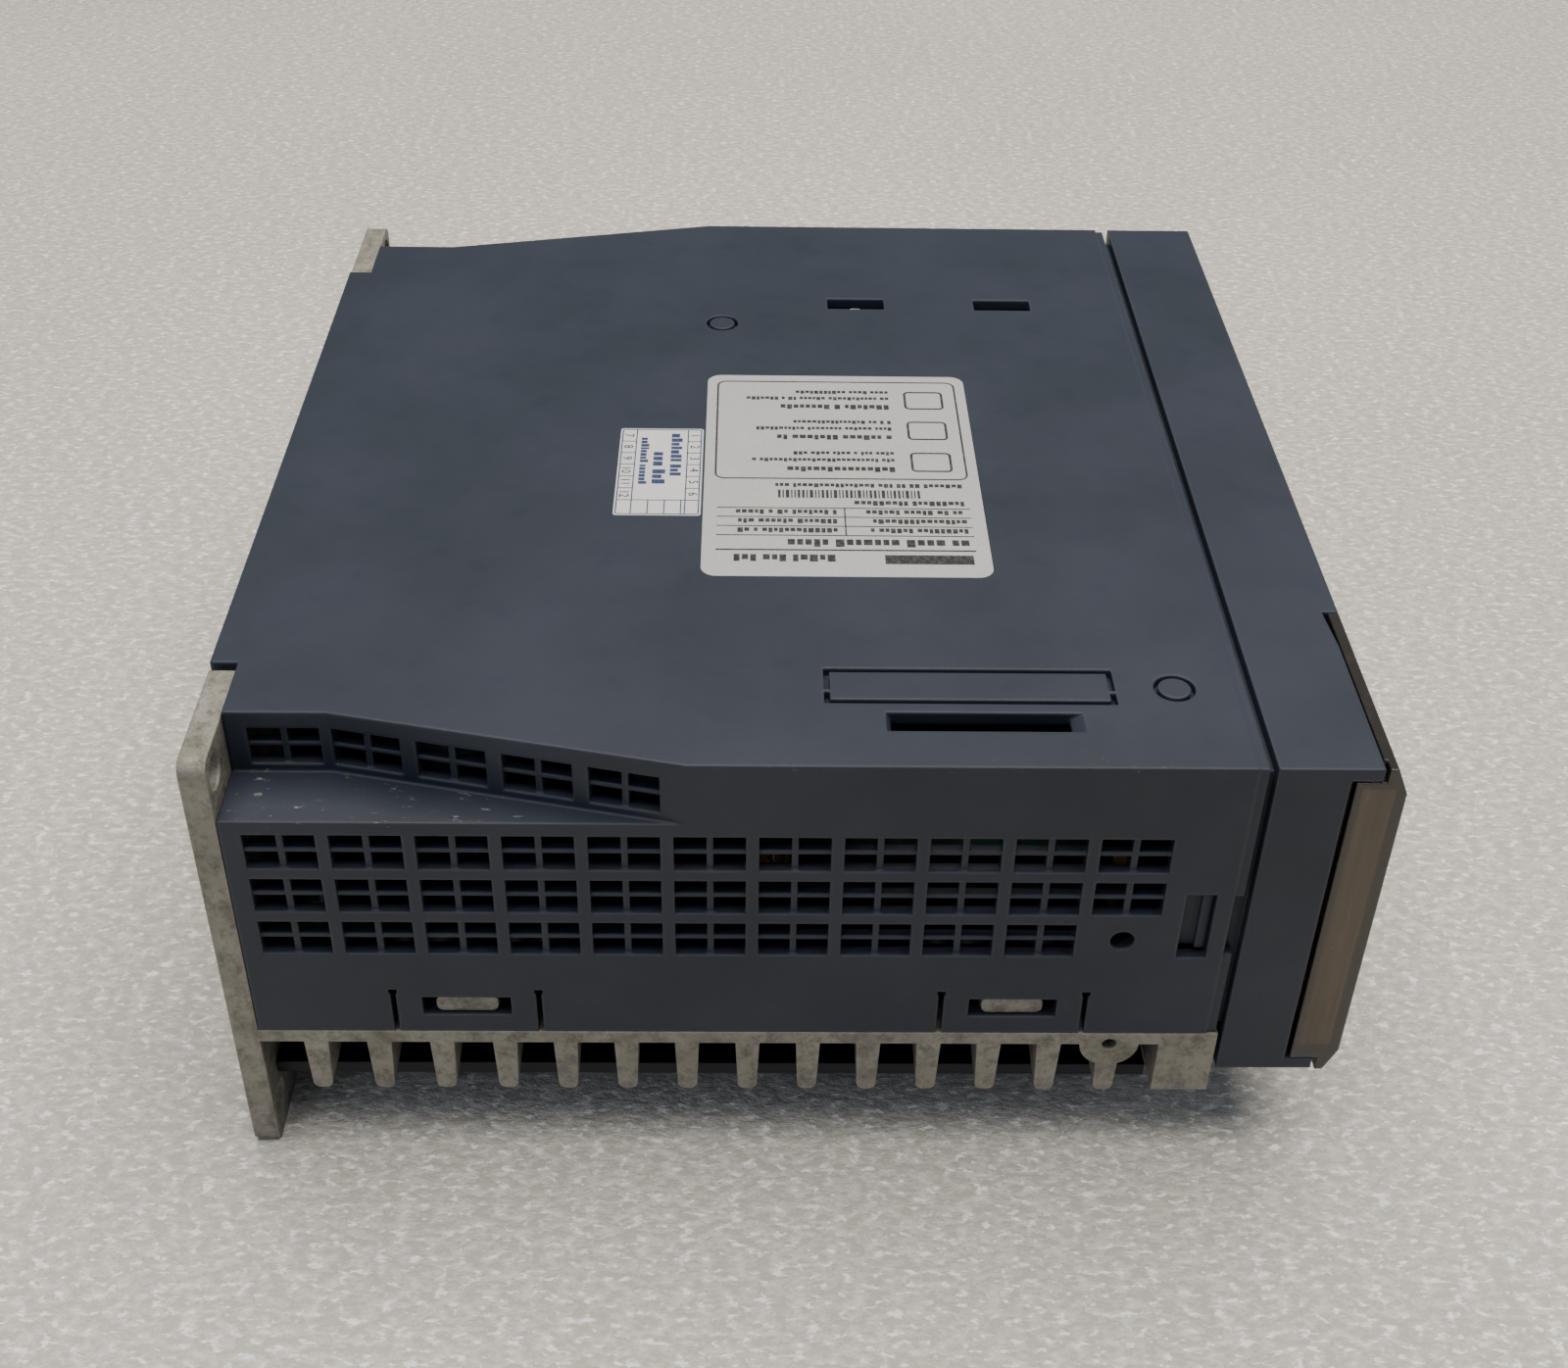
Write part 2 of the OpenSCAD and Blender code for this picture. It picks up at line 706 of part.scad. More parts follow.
module flip_cover()
    color("#4a423b")
        difference() {
            union() {
                difference() {
                    bar_x(flip_outline(0), [-half, flip_end]);
                    bar_x(flip_outline(flip_wall), [-half + flip_wall, flip_end - flip_wall]);
                }
                difference() {
                    block([-half, -half + flip_wall], [hinge_u - 1.7, drive_d - 1.8], lip_z);
                    block([-half + 0.8, -half + flip_wall + 1], [hinge_u - 0.9, drive_d - 3.4],
                        [lip_z[0] + 4.4, lip_z[1] - 1.2]);
                }
                for (z = [[lip_z[0], lip_z[0] + 4.4], [lip_z[1] - 4.4, lip_z[1]]])
                    union() {
                        rod_z(hinge_x, hinge_u, z, 2 * knuckle_r);
                        block([-half, hinge_x + knuckle_r], [hinge_u, drive_d - 1.8], z);
                    }
            }
            for (z = [[lip_z[0] - 1, lip_z[0] + 3.6], [lip_z[1] - 3.6, lip_z[1] + 1]])
                rod_z(hinge_x, hinge_u, z, pin_d + 2 * pin_clear);
            for (z = [[flip_low - 1, lip_z[0]], [lip_z[1], label_z + 1]])
                block([-half - 1, hinge_x + 0.8], [flip_back - 2, flip_back + swing_relief], z);
        }

module hinge_pins()
    color("silver")
        for (z = [[cover_low + 0.9, lip_z[0] + 3.4], [lip_z[1] - 3.4, label_z - 0.9]])
            rod_z(hinge_x, hinge_u, z, pin_d);

/* ---- Operator panel ---- */

function key_z_at(k) = mid_z + (k - (key_count - 1) / 2) * key_pitch;

module operator_panel()
    color("#2b313a")
        difference() {
            block([-half + wall + 0.15, flip_end - wall - 0.15], [panel_back, panel_front],
                [cover_low + wall + 0.15, label_z - wall - 0.15]);
            block([display_x - window_x / 2, display_x + window_x / 2],
                [panel_back - 1, panel_front + 1],
                [mid_z - window_z / 2, mid_z + window_z / 2]);
            for (k = [0 : key_count - 1])
                block([key_row_x - key_x / 2 - key_clear, key_row_x + key_x / 2 + key_clear],
                    [panel_back - 1, panel_front + 1],
                    [key_z_at(k) - key_z / 2 - key_clear, key_z_at(k) + key_z / 2 + key_clear]);
            for (s = [-1, 1])
                rod_u(display_x, [panel_back - 1, panel_front + 1], mid_z + s * pipe_dz, 3.2);
        }

module display_window()
    color("#5a1d1a")
        block([display_x - window_x / 2 + 0.1, display_x + window_x / 2 - 0.1],
            [panel_back + 0.2, panel_front - 0.2],
            [mid_z - window_z / 2 + 0.1, mid_z + window_z / 2 - 0.1]);

module display_module()
    color("#1c1c1e")
        block([display_x - 6.5, display_x + 6.5], [display_board_u, panel_back - 0.6],
            [mid_z - 19, mid_z + 19]);

// Seven bars of each of the five digits, standing just proud of the module.
digit_h = 8.4;
digit_w = 4.6;
bar_w = 0.9;
module digit(z)
    for (b = [[0, 1], [0.5, 1], [1, 1], [0.25, 0], [0.75, 0], [0.25, 2], [0.75, 2]])
        if (b[1] == 1)
            block([display_x - digit_h / 2 + b[0] * digit_h - bar_w / 2,
                display_x - digit_h / 2 + b[0] * digit_h + bar_w / 2],
                [panel_back - 0.6, panel_back - 0.45], [z - 1.6, z + 1.6]);
        else
            block([display_x - digit_h / 2 + b[0] * digit_h - 1.5,
                display_x - digit_h / 2 + b[0] * digit_h + 1.5],
                [panel_back - 0.6, panel_back - 0.45],
                [z + (b[1] - 1) * digit_w / 2 - bar_w / 2,
                z + (b[1] - 1) * digit_w / 2 + bar_w / 2]);

module display_segments()
    color("#c8372c")
        for (k = [-2 : 2])
            digit(mid_z + k * 7.2);

module display_board()
    color("#1f5a3a")
        block([-half + wall + 2, flip_end - wall - 2], [display_board_u - board_t, display_board_u],
            [cover_low + wall + 2, label_z - wall - 2]);

switch_top = panel_back - 1.1 - key_travel - 0.15;
module key(k)
    color("#8b8f96")
        union() {
            block([key_row_x - key_x / 2, key_row_x + key_x / 2], [panel_back - 1.1,
                panel_front + 1.4], [key_z_at(k) - key_z / 2, key_z_at(k) + key_z / 2]);
            block([key_row_x - key_x / 2 - 0.8, key_row_x + key_x / 2 + 0.8],
                [panel_back - 1.1, panel_back - 0.1],
                [key_z_at(k) - key_z / 2 - 0.8, key_z_at(k) + key_z / 2 + 0.8]);
        }

module key_mode() key(0);
module key_up() key(1);
module key_down() key(2);
module key_enter() key(3);

module key_switches()
    color("#c9c9c4")
        for (k = [0 : key_count - 1])
            union() {
                block([key_row_x - 3, key_row_x + 3], [display_board_u, switch_top - 0.8],
                    [key_z_at(k) - 3, key_z_at(k) + 3]);
                rod_u(key_row_x, [display_board_u, switch_top], key_z_at(k), 3.2);
            }

module light_pipes()
    color("#d8dcd4")
        for (s = [-1, 1])
            rod_u(display_x, [display_board_u + 1.2, panel_front + 0.3], mid_z + s * pipe_dz, 3);

module indicator_leds()
    color("#b9d8a0")
        for (s = [-1, 1])
            block([display_x - 1, display_x + 1], [display_board_u, display_board_u + 1],
                [mid_z + s * pipe_dz - 0.8, mid_z + s * pipe_dz + 0.8]);

/* ---- Front connectors ---- */

header_u = [cast_front + 0.5, cover_front - 0.5];
module power_header(x0, poles)
    difference() {
        block([x0, x0 + header_len(poles)], header_u, [header_z0, header_z1]);
        block([x0 + header_wall, x0 + header_len(poles) - header_wall],
            [header_u[1] - 13, header_u[1] + 1], [header_z0 + header_wall,
            header_z1 - header_wall]);
        for (k = [0 : poles - 1])
            block([x0 + header_wall + (k + 0.5) * power_pitch - 0.55,
                x0 + header_wall + (k + 0.5) * power_pitch + 0.55],
                [header_u[0] - 1, header_u[1] - 12], [header_pin_z - 1.1, header_pin_z + 0.7]);
    }

module supply_header()
    color("#2c6e49")
        power_header(header_x0, supply_poles);

module motor_header()
    color("#2c6e49")
        power_header(motor_x0, motor_poles);

module header_pin(x0, k)
    block([x0 + header_wall + (k + 0.5) * power_pitch - 0.5,
        x0 + header_wall + (k + 0.5) * power_pitch + 0.5], [board_front - 6, header_u[1] - 4],
        [header_pin_z - 0.3, header_pin_z + 0.7]);

module header_pins()
    color("#c9b26a") {
        for (k = [0 : supply_poles - 1])
            header_pin(header_x0, k);
        for (k = [0 : motor_poles - 1])
            header_pin(motor_x0, k);
    }

connector_u = [150, cover_front - 0.7];
comm_h = 13;

// Signal connector body with a socket whose contacts sit on a middle blade.
module signal_socket(x0, len)
    difference() {
        block([x0, x0 + len], connector_u, [control_top, control_top + connector_h]);
        block([x0 + 3, x0 + len - 3], [connector_u[1] - 9, connector_u[1] + 1],
            [control_top + 2, control_top + connector_h - 2]);
    }

module io_connector()
    color("#d9d6cb")
        signal_socket(io_x0, io_len);

module encoder_connector()
    color("#d9d6cb")
        signal_socket(encoder_x0, encoder_len);

module comm_socket(x0)
    difference() {
        block([x0, x0 + comm_len], connector_u, [control_top, control_top + comm_h]);
        block([x0 + 1.6, x0 + comm_len - 1.6], [connector_u[1] - 13, connector_u[1] + 1],
            [control_top + 3.4, control_top + comm_h - 1.6]);
        block([x0 + comm_len / 2 - 3, x0 + comm_len / 2 + 3],
            [connector_u[1] - 8, connector_u[1] + 1], [control_top + 1.2, control_top + 4]);
    }

module comm_socket_in()
    color("#b8bcc2")
        comm_socket(comm_x0);

module comm_socket_out()
    color("#b8bcc2")
        comm_socket(comm_x0 + comm_step);

// Contacts inside the signal connectors and the communication sockets.
contact_z = control_top + 3.2;
module contact_row(x0, len, count)
    for (k = [0 : count - 1])
        block([x0 + (k + 0.5) * len / count - 0.35, x0 + (k + 0.5) * len / count + 0.35],
            [connector_u[1] - 9, connector_u[1] - 2.5], [control_top + 2, contact_z - 0.4]);

module comm_contacts(x0)
    for (k = [0 : 7])
        block([x0 + 3.2 + k * 1.16, x0 + 3.2 + k * 1.16 + 0.5],
            [connector_u[1] - 13, connector_u[1] - 4],
            [control_top + comm_h - 2.6, control_top + comm_h - 1.6]);

module signal_contacts()
    color("#c9b26a") {
        contact_row(io_x0 + 3, io_len - 6, 25);
        contact_row(encoder_x0 + 3, encoder_len - 6, 10);
        comm_contacts(comm_x0);
        comm_contacts(comm_x0 + comm_step);
    }

/* ---- Boards and their parts ---- */

module board(u0, z, x0)
    block([x0, board_x1], [u0, board_front], [z, z + board_t]);

post_xs = [board_x0 + post_inset, board_x1 - post_inset];

module control_board()
    color("#1f5a3a")
        difference() {
            board(82, control_z, board_x0);
            for (x = post_xs, u = high_post_us)
                rod_z(x, u, [control_z - 1, control_z + board_t + 1], 3.2);
        }

module control_chips()
    color("#222326") {
        block([-30, -8], [100, 122], [control_top, control_top + 1.6]);
        block([8, 24], [104, 120], [control_top, control_top + 1.6]);
        block([-54, -42], [98, 106], [control_top, control_top + 2]);
        block([-54, -42], [112, 120], [control_top, control_top + 2]);
        block([36, 46], [100, 107], [control_top, control_top + 2]);
        block([36, 46], [114, 121], [control_top, control_top + 2]);
    }

module board_link()
    color("#1c1c1e")
        block([-72, -66], [100, 140], [power_top, control_z]);

module display_link()
    color("#1c1c1e")
        block([display_x, display_x + 20], [board_front + 0.1, display_board_u - board_t],
            [control_z - 3, control_z + 3]);

module power_board()
    color("#1f5a3a")
        difference() {
            board(8, power_z, board_x0);
            for (x = post_xs, u = post_us)
                rod_z(x, u, [power_z - 1, power_top + 1], 3.2);
        }

module hex_post(x, u, z, hole)
    difference() {
        translate([x, at(u), z[0]])
            cylinder(h = z[1] - z[0], d = 6.3, $fn = 6);
        rod_z(x, u, [z[1] - hole, z[1] + 1], 2.5);
    }

module low_standoffs()
    color("#c9b26a")
        for (x = post_xs, u = post_us)
            hex_post(x, u, [base_top, power_z], 7);

module high_standoffs()
    color("#c9b26a")
        for (x = post_xs, u = high_post_us)
            union() {
                hex_post(x, u, [power_top, control_z], 7);
                rod_z(x, u, [power_top - board_t - 5, power_top + 1], 2.5);
            }

module screw_down(x, u, z, d, len, head_d, head_h)
    difference() {
        union() {
            rod_z(x, u, [z - len, z + eps], d);
            rod_z(x, u, [z, z + head_h], head_d);
        }
        block([x - head_d / 2 + 1, x + head_d / 2 - 1], [u - 0.4, u + 0.4],
            [z + head_h / 2, z + head_h + 1]);
        block([x - 0.4, x + 0.4], [u - head_d / 2 + 1, u + head_d / 2 - 1],
            [z + head_h / 2, z + head_h + 1]);
    }

module board_screws()
    color("silver") {
        for (x = post_xs, u = high_post_us)
            screw_down(x, u, control_top, 2.5, board_t + 5, 5.4, 2);
        for (x = post_xs)
            screw_down(x, post_us[0], power_top, 2.5, board_t + 5, 5.4, 2);
    }

module_u = [56, 100];
module_x = [-30, 34];
bridge_u = [112, 142];
bridge_x = [-24, 8];
pad_t = 0.3;
module_screw_spots = [[module_x[0] + 4, 78], [module_x[1] - 4, 78], [-8, 127]];

module power_module()
    color("#2a2b2e")
        difference() {
            block(module_x, module_u, [base_top + pad_t, base_top + 8]);
            for (k = [0, 1])
                rod_z(module_screw_spots[k][0], module_screw_spots[k][1],
                    [base_top - 1, base_top + 9], 3.4);
        }

module rectifier()
    color("#2a2b2e")
        difference() {
            block(bridge_x, bridge_u, [base_top + pad_t, base_top + 7]);
            rod_z(-8, 127, [base_top - 1, base_top + 8], 3.4);
        }

module thermal_pads()
    color("#b9c0cc")
        difference() {
            union() {
                block(module_x, module_u, [base_top, base_top + pad_t]);
                block(bridge_x, bridge_u, [base_top, base_top + pad_t]);
            }
            for (p = module_screw_spots)
                rod_z(p[0], p[1], [base_top - 1, base_top + 1], 3.4);
        }

module module_screws()
    color("silver")
        for (k = [0 : 2])
            screw_down(module_screw_spots[k][0], module_screw_spots[k][1],
                base_top + (k < 2 ? 8 : 7), 3, (k < 2 ? 8 : 7) + base_t - 0.4, 5.6, 2.2);

module bus_capacitors()
    color("#2b2f45")
        for (k = [0 : cap_count - 1])
            difference() {
                rod_z(-52 + k * cap_pitch, 34, [power_top, power_top + cap_h], cap_d);
                difference() {
                    rod_z(-52 + k * cap_pitch, 34, [power_top + 3.4, power_top + 4.4],
                        cap_d + 1);
                    rod_z(-52 + k * cap_pitch, 34, [power_top + 3, power_top + 5],
                        cap_d - 1);
                }
            }

module line_choke()
    color("#7a5a2c")
        translate([44, at(26), power_top + 5.2])
            rotate_extrude()
                translate([8, 0])
                    circle(4.6);

module inrush_relay()
    color("#e0ddd2")
        block([12, 30], [18, 46], [power_top, power_top + 16]);

module flyback_transformer()
    color("#5b5348")
        union() {
            block([34, 58], [48, 70], [power_top, power_top + 5]);
            block([38, 54], [50, 68], [power_top + 5 - eps, power_top + 17]);
            block([34, 58], [55, 63], [power_top + 3, power_top + 20]);
        }

module current_sensors()
    color("#1f3d6b")
        for (x = [-20, 6])
            difference() {
                block([x, x + 18], [120, 130], [power_top, power_top + 14]);
                rod_u(x + 9, [119, 131], power_top + 8, 6);
            }

module film_capacitors()
    color("#4c4f54")
        for (x = [-50, -24])
            block([x, x + 22], [64, 73], [power_top, power_top + 13]);

module fuse()
    color("#d6d2c4")
        union() {
            rod_x([-2, 24], 56, power_top + 3.6, 5.2);
            for (x = [-2, 18])
                rod_x([x, x + 6], 56, power_top + 3.6, 6.2);
            for (x = [-1, 20])
                block([x, x + 3], [54, 58], [power_top, power_top + 3]);
        }

/* ---- Fan ---- */

hub_r = 11;
blade_count = 7;

module fan_frame()
    color("#1d1f22")
        difference() {
            union() {
                difference() {
                    block([fan_x0, fan_x1], [fan_u - fan_side / 2, fan_u + fan_side / 2],
                        [fan_z - fan_side / 2, fan_z + fan_side / 2]);
                    rod_x([fan_x0 - 1, fan_x1 + 1], fan_u, fan_z, fan_bore);
                }
                rod_x([fan_x0, fan_x0 + 2], fan_u, fan_z, 2 * hub_r);
                rod_x([fan_x0, fan_x0 + 8], fan_u, fan_z, 5);
                for (a = [20, 140, 260])
                    translate([fan_x0, at(fan_u), fan_z])
                        rotate([a, 0, 0])
                            translate([0, -1.5, 6])
                                cube([2, 3, fan_bore / 2 - 5]);
            }
            rod_x([fan_x0 + 1, fan_x0 + 9], fan_u, fan_z, 3 + 2 * 0.04);
            for (su = [-1, 1], sz = [-1, 1])
                rod_x([fan_x0 - 1, fan_x1 + 1], fan_u + su * fan_hole, fan_z + sz * fan_hole, 3.4);
        }

rotor_x = [fan_x0 + 2.6, fan_x1 - 0.8];
module fan_rotor()
    color("#1d1f22")
        difference() {
            union() {
                rod_x(rotor_x, fan_u, fan_z, 2 * hub_r);
                intersection() {
                    difference() {
                        rod_x(rotor_x, fan_u, fan_z, fan_bore - 1.4);
                        rod_x([rotor_x[0] - 1, rotor_x[1] + 1], fan_u, fan_z, 2 * hub_r - 1);
                    }
                    translate([(rotor_x[0] + rotor_x[1]) / 2, at(fan_u), fan_z])
                        union() {
                            for (k = [0 : blade_count - 1])
                                rotate([k * 360 / blade_count, 0, 0])
                                    translate([0, 0, fan_bore / 4])
                                        rotate([0, 0, 52])
                                            cube([1.3, 17, fan_bore / 2 + 4], center = true);
                        }
                }
            }
            rod_x([rotor_x[0] - 1, rotor_x[1] - 2], fan_u, fan_z, 2 * hub_r - 2.4);
            rod_x([rotor_x[0] - 1, rotor_x[1] + 1], fan_u, fan_z, 3);
        }

module fan_shaft()
    color("silver")
        rod_x([fan_x0 + 1.4, rotor_x[1]], fan_u, fan_z, 3);

module fan_screws()
    color("silver")
        for (su = [-1, 1], sz = [-1, 1])
            union() {
                rod_x([fan_x0 - 1.8, fan_x0], fan_u + su * fan_hole,
                    fan_z + sz * fan_hole, 5.4);
                rod_x([fan_x0 - 1, half - 1], fan_u + su * fan_hole,
                    fan_z + sz * fan_hole, 2.6);
            }

/* ---- Labels ---- */

module rating_label()
    color("#d9dbdc")
        translate([-9.1, at(100.2), label_z])
            round_plate(label_x, label_u, label_t, label_r);

module service_sticker()
    color("#eceef0")
        translate([-10.2, at(67.7), label_z])
            round_plate(sticker_x, sticker_u, label_t, 0.6);

heatsink();
duct_plate();
duct_screws();
housing();
front_cover();
flip_cover();
hinge_pins();
operator_panel();
display_window();
display_module();
display_segments();
display_board();
key_mode();
key_up();
key_down();
key_enter();
key_switches();
light_pipes();
indicator_leds();
supply_header();
motor_header();
header_pins();
io_connector();
encoder_connector();
comm_socket_in();
comm_socket_out();
signal_contacts();
control_board();
control_chips();
board_link();
display_link();
power_board();
low_standoffs();
high_standoffs();
board_screws();
power_module();
rectifier();
thermal_pads();
module_screws();
bus_capacitors();
line_choke();
inrush_relay();
flyback_transformer();
current_sensors();
film_capacitors();
fuse();
fan_frame();
fan_rotor();
fan_shaft();
fan_screws();
ground_screws();
rating_label();
service_sticker();
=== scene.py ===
"""Looks of a book-style servo drive that lies on its heatsink side, label side up."""
import math

import bpy
import numpy as np
from mathutils import Matrix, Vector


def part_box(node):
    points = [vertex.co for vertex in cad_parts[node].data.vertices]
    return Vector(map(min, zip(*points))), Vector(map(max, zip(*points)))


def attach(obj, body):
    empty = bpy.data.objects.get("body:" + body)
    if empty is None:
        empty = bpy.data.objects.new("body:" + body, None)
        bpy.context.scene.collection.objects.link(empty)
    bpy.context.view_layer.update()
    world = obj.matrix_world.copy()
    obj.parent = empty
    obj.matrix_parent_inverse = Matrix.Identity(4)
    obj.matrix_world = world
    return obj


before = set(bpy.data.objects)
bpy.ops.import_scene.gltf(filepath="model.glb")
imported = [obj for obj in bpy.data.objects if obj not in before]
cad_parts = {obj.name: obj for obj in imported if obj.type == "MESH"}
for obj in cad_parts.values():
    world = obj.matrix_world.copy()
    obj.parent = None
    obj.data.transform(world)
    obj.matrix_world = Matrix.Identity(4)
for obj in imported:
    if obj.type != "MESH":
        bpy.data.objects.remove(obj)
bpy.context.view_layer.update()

MM = 0.001
QUARTER = math.pi / 2
BODY = "drive_body"
rng = np.random.default_rng(7)


# ---- Helpers for materials ----

MIX_FACTOR, MIX_UNDER, MIX_OVER = 0, 6, 7  # a Mix node's sockets for colours
BEVEL_RAYS = 6


def linear(hex_code):
    """Linear colour of an sRGB hex value: the sRGB curve undone channel by channel, with alpha 1."""
    srgb = [int(hex_code[i:i + 2], 16) / 255 for i in (1, 3, 5)]
    return [c / 12.92 if c <= 0.04045 else ((c + 0.055) / 1.055) ** 2.4 for c in srgb] + [1.0]


def per_mm(size):
    """Texture scale at which one feature is about size millimetres across."""
    return 1 / (size * MM)


def node(tree, kind, inputs=None, **settings):
    """Adds a shader node with these settings; each input is a value, a socket or a node to link from."""
    made = tree.nodes.new(kind)
    for name, value in settings.items():
        setattr(made, name, value)
    for name, value in (inputs or {}).items():
        if isinstance(value, bpy.types.Node):
            value = next(socket for socket in value.outputs if socket.enabled)
        if isinstance(value, bpy.types.NodeSocket):
            tree.links.new(value, made.inputs[name])
        else:
            made.inputs[name].default_value = value
    return made


def finish(name, pattern, **constants):
    """A material whose shader has these constants on its own sockets, and a pattern that links the rest."""
    material = bpy.data.materials.new(name)
    material.use_nodes = True
    tree = material.node_tree
    tree.nodes.clear()
    place = node(tree, "ShaderNodeTexCoord").outputs["Object"]
    constants = {key.replace("_", " "): value for key, value in constants.items()}
    shader = node(tree, "ShaderNodeBsdfPrincipled", {**constants, **pattern(tree, place)})
    node(tree, "ShaderNodeOutputMaterial", {"Surface": shader})
    return material


def coat(tree, under, over, cover, share=1.0):
    """Colour that goes from under to over where cover goes to 1, by at most this share of the way."""
    under, over = [linear(c) if isinstance(c, str) else c for c in (under, over)]
    part = node(tree, "ShaderNodeMath", {0: cover, 1: share}, operation="MULTIPLY")
    return node(tree, "ShaderNodeMix", {MIX_FACTOR: part, MIX_UNDER: under, MIX_OVER: over},
                data_type="RGBA")


def speckle(tree, place, size, detail=2.0, rough=0.5, low=0.3, high=0.7, stretch=(1, 1, 1)):
    """Noise of features size millimetres across, from 0 where it is under low to 1 above high."""
    mapped = node(tree, "ShaderNodeMapping", {"Vector": place, "Scale": stretch})
    noise = node(tree, "ShaderNodeTexNoise", {"Vector": mapped, "Scale": per_mm(size),
                                              "Detail": detail, "Roughness": rough})
    return node(tree, "ShaderNodeMapRange", {"Value": noise, "From Min": low, "From Max": high})


def patch(tree, *limits):
    """1 where each value lies from its low to its high in mm, falling to 0 within its soft edge."""
    inside = 1.0
    for value, low, high, soft in limits:
        for outer, inner in ((low - soft, low), (high + soft, high)):
            ramp = node(tree, "ShaderNodeMapRange", {"Value": value, "From Min": outer * MM,
                                                     "From Max": inner * MM})
            inside = node(tree, "ShaderNodeMath", {0: inside, 1: ramp}, operation="MULTIPLY")
    return inside


def edge_wear(tree, normal):
    """1 on an edge and 0 on a flat: how far the rounded normal leans away from the true one."""
    true = node(tree, "ShaderNodeNewGeometry").outputs["True Normal"]
    lean = node(tree, "ShaderNodeVectorMath", {0: normal, 1: true}, operation="DOT_PRODUCT")
    return node(tree, "ShaderNodeMapRange", {"Value": lean, "From Min": 0.995, "From Max": 0.86})


# ---- Finishes ----

def spark_eroded(tree, place):
    """Moulded ABS from a spark-eroded tool: fine grain, faint flow mottling, and edges pale from wear and
    painted highlight.
    """
    # The tool's grain is about 0.1 mm; it is drawn at 0.35 mm, the finest that shows.
    grain = speckle(tree, place, 0.35, detail=3)
    flow = speckle(tree, place, 26, detail=4, low=0.35, high=0.65)
    handled = speckle(tree, place, 7, detail=5, rough=0.6, low=0.5, high=0.75)
    edges = node(tree, "ShaderNodeBevel", {"Radius": 0.8 * MM}, samples=BEVEL_RAYS)
    colour = coat(tree, "#212935", "#282f3c", flow)
    # Paler edges: partly rubbed wear, partly a painted highlight along the rounded edges.
    colour = coat(tree, colour, "#474f5c", edge_wear(tree, edges), 0.55)
    gloss = node(tree, "ShaderNodeMapRange", {"Value": handled, "To Min": 0.5, "To Max": 0.41})
    normal = node(tree, "ShaderNodeBump", {"Height": grain, "Distance": 0.02 * MM,
                                           "Strength": 0.5, "Normal": edges})
    return {"Base Color": colour, "Roughness": gloss, "Normal": normal}


def shell_pattern(tree, place):
    """The shells' grain, with whitish rubs on the screw ledges and brownish ones along the vented edge."""
    base = spark_eroded(tree, place)
    x, y, z = node(tree, "ShaderNodeSeparateXYZ", {"Vector": place}).outputs
    streaks = speckle(tree, place, 1.4, detail=7, rough=0.75, low=0.605, high=0.665, stretch=(1, 0.35, 1))
    ledges = patch(tree, (y, 45, 82, 6), (z, 72.4, 73.4, 0.4))
    rubs = node(tree, "ShaderNodeMath", {0: streaks, 1: ledges}, operation="MULTIPLY")
    crumbs = speckle(tree, place, 1.0, detail=7, rough=0.75, low=0.62, high=0.7, stretch=(1, 0.45, 1))
    vented_edge = patch(tree, (x, -92.6, -90.5, 0.6), (z, 83.3, 84.6, 0.4))
    stain = node(tree, "ShaderNodeMath", {0: crumbs, 1: vented_edge}, operation="MULTIPLY")
    colour = coat(tree, base["Base Color"], "#a9aaa6", rubs, 0.5)
    return {**base, "Base Color": coat(tree, colour, "#8a7a63", stain, 0.4)}


def cast_pattern(tree, place):
    """Pressure die casting, blasted and aged: blotches, pits and dark stains in a pale oxide skin."""
    blotch = speckle(tree, place, 9, detail=8, rough=0.65, low=0.35, high=0.65)
    stain = speckle(tree, place, 2.6, detail=9, rough=0.78, low=0.46, high=0.62)
    # Blasting grit leaves dents of about 0.2 mm; they are drawn at 0.5 mm so that they show.
    dents = speckle(tree, place, 0.5, detail=4)
    pits = speckle(tree, place, 2.0, detail=6, rough=0.65, low=0.2, high=0.48)
    edges = node(tree, "ShaderNodeBevel", {"Radius": 0.7 * MM}, samples=BEVEL_RAYS)
    colour = coat(tree, "#817f78", "#9a9791", blotch)
    colour = coat(tree, colour, "#4e4b44", stain, 0.75)
    colour = coat(tree, colour, "#a8a59c", dents, 0.25)
    colour = coat(tree, colour, "#aeaba2", edge_wear(tree, edges), 0.4)
    gloss = node(tree, "ShaderNodeMapRange", {"Value": dents, "To Min": 0.55, "To Max": 0.78})
    pitted = node(tree, "ShaderNodeBump", {"Height": pits, "Distance": 0.2 * MM,
                                           "Strength": 0.6, "Normal": edges})
    normal = node(tree, "ShaderNodeBump", {"Height": dents, "Distance": 0.08 * MM,
                                           "Strength": 0.7, "Normal": pitted})
    return {"Base Color": colour, "Roughness": gloss, "Normal": normal}


def moulded(tint, shade, size=12, rough=(0.35, 0.5)):
    """Pattern of a plain moulding: faint cloudiness, a fine grain and rounded edges."""
    def pattern(tree, place):
        cloud = speckle(tree, place, size, detail=4, low=0.35, high=0.65)
        grain = speckle(tree, place, 0.4, detail=3)
        edges = node(tree, "ShaderNodeBevel", {"Radius": 0.3 * MM}, samples=BEVEL_RAYS)
        gloss = node(tree, "ShaderNodeMapRange", {"Value": cloud, "To Min": rough[0], "To Max": rough[1]})
        normal = node(tree, "ShaderNodeBump", {"Height": grain, "Distance": 0.015 * MM,
                                               "Strength": 0.4, "Normal": edges})
        return {"Base Color": coat(tree, tint, shade, cloud), "Roughness": gloss, "Normal": normal}
    return pattern


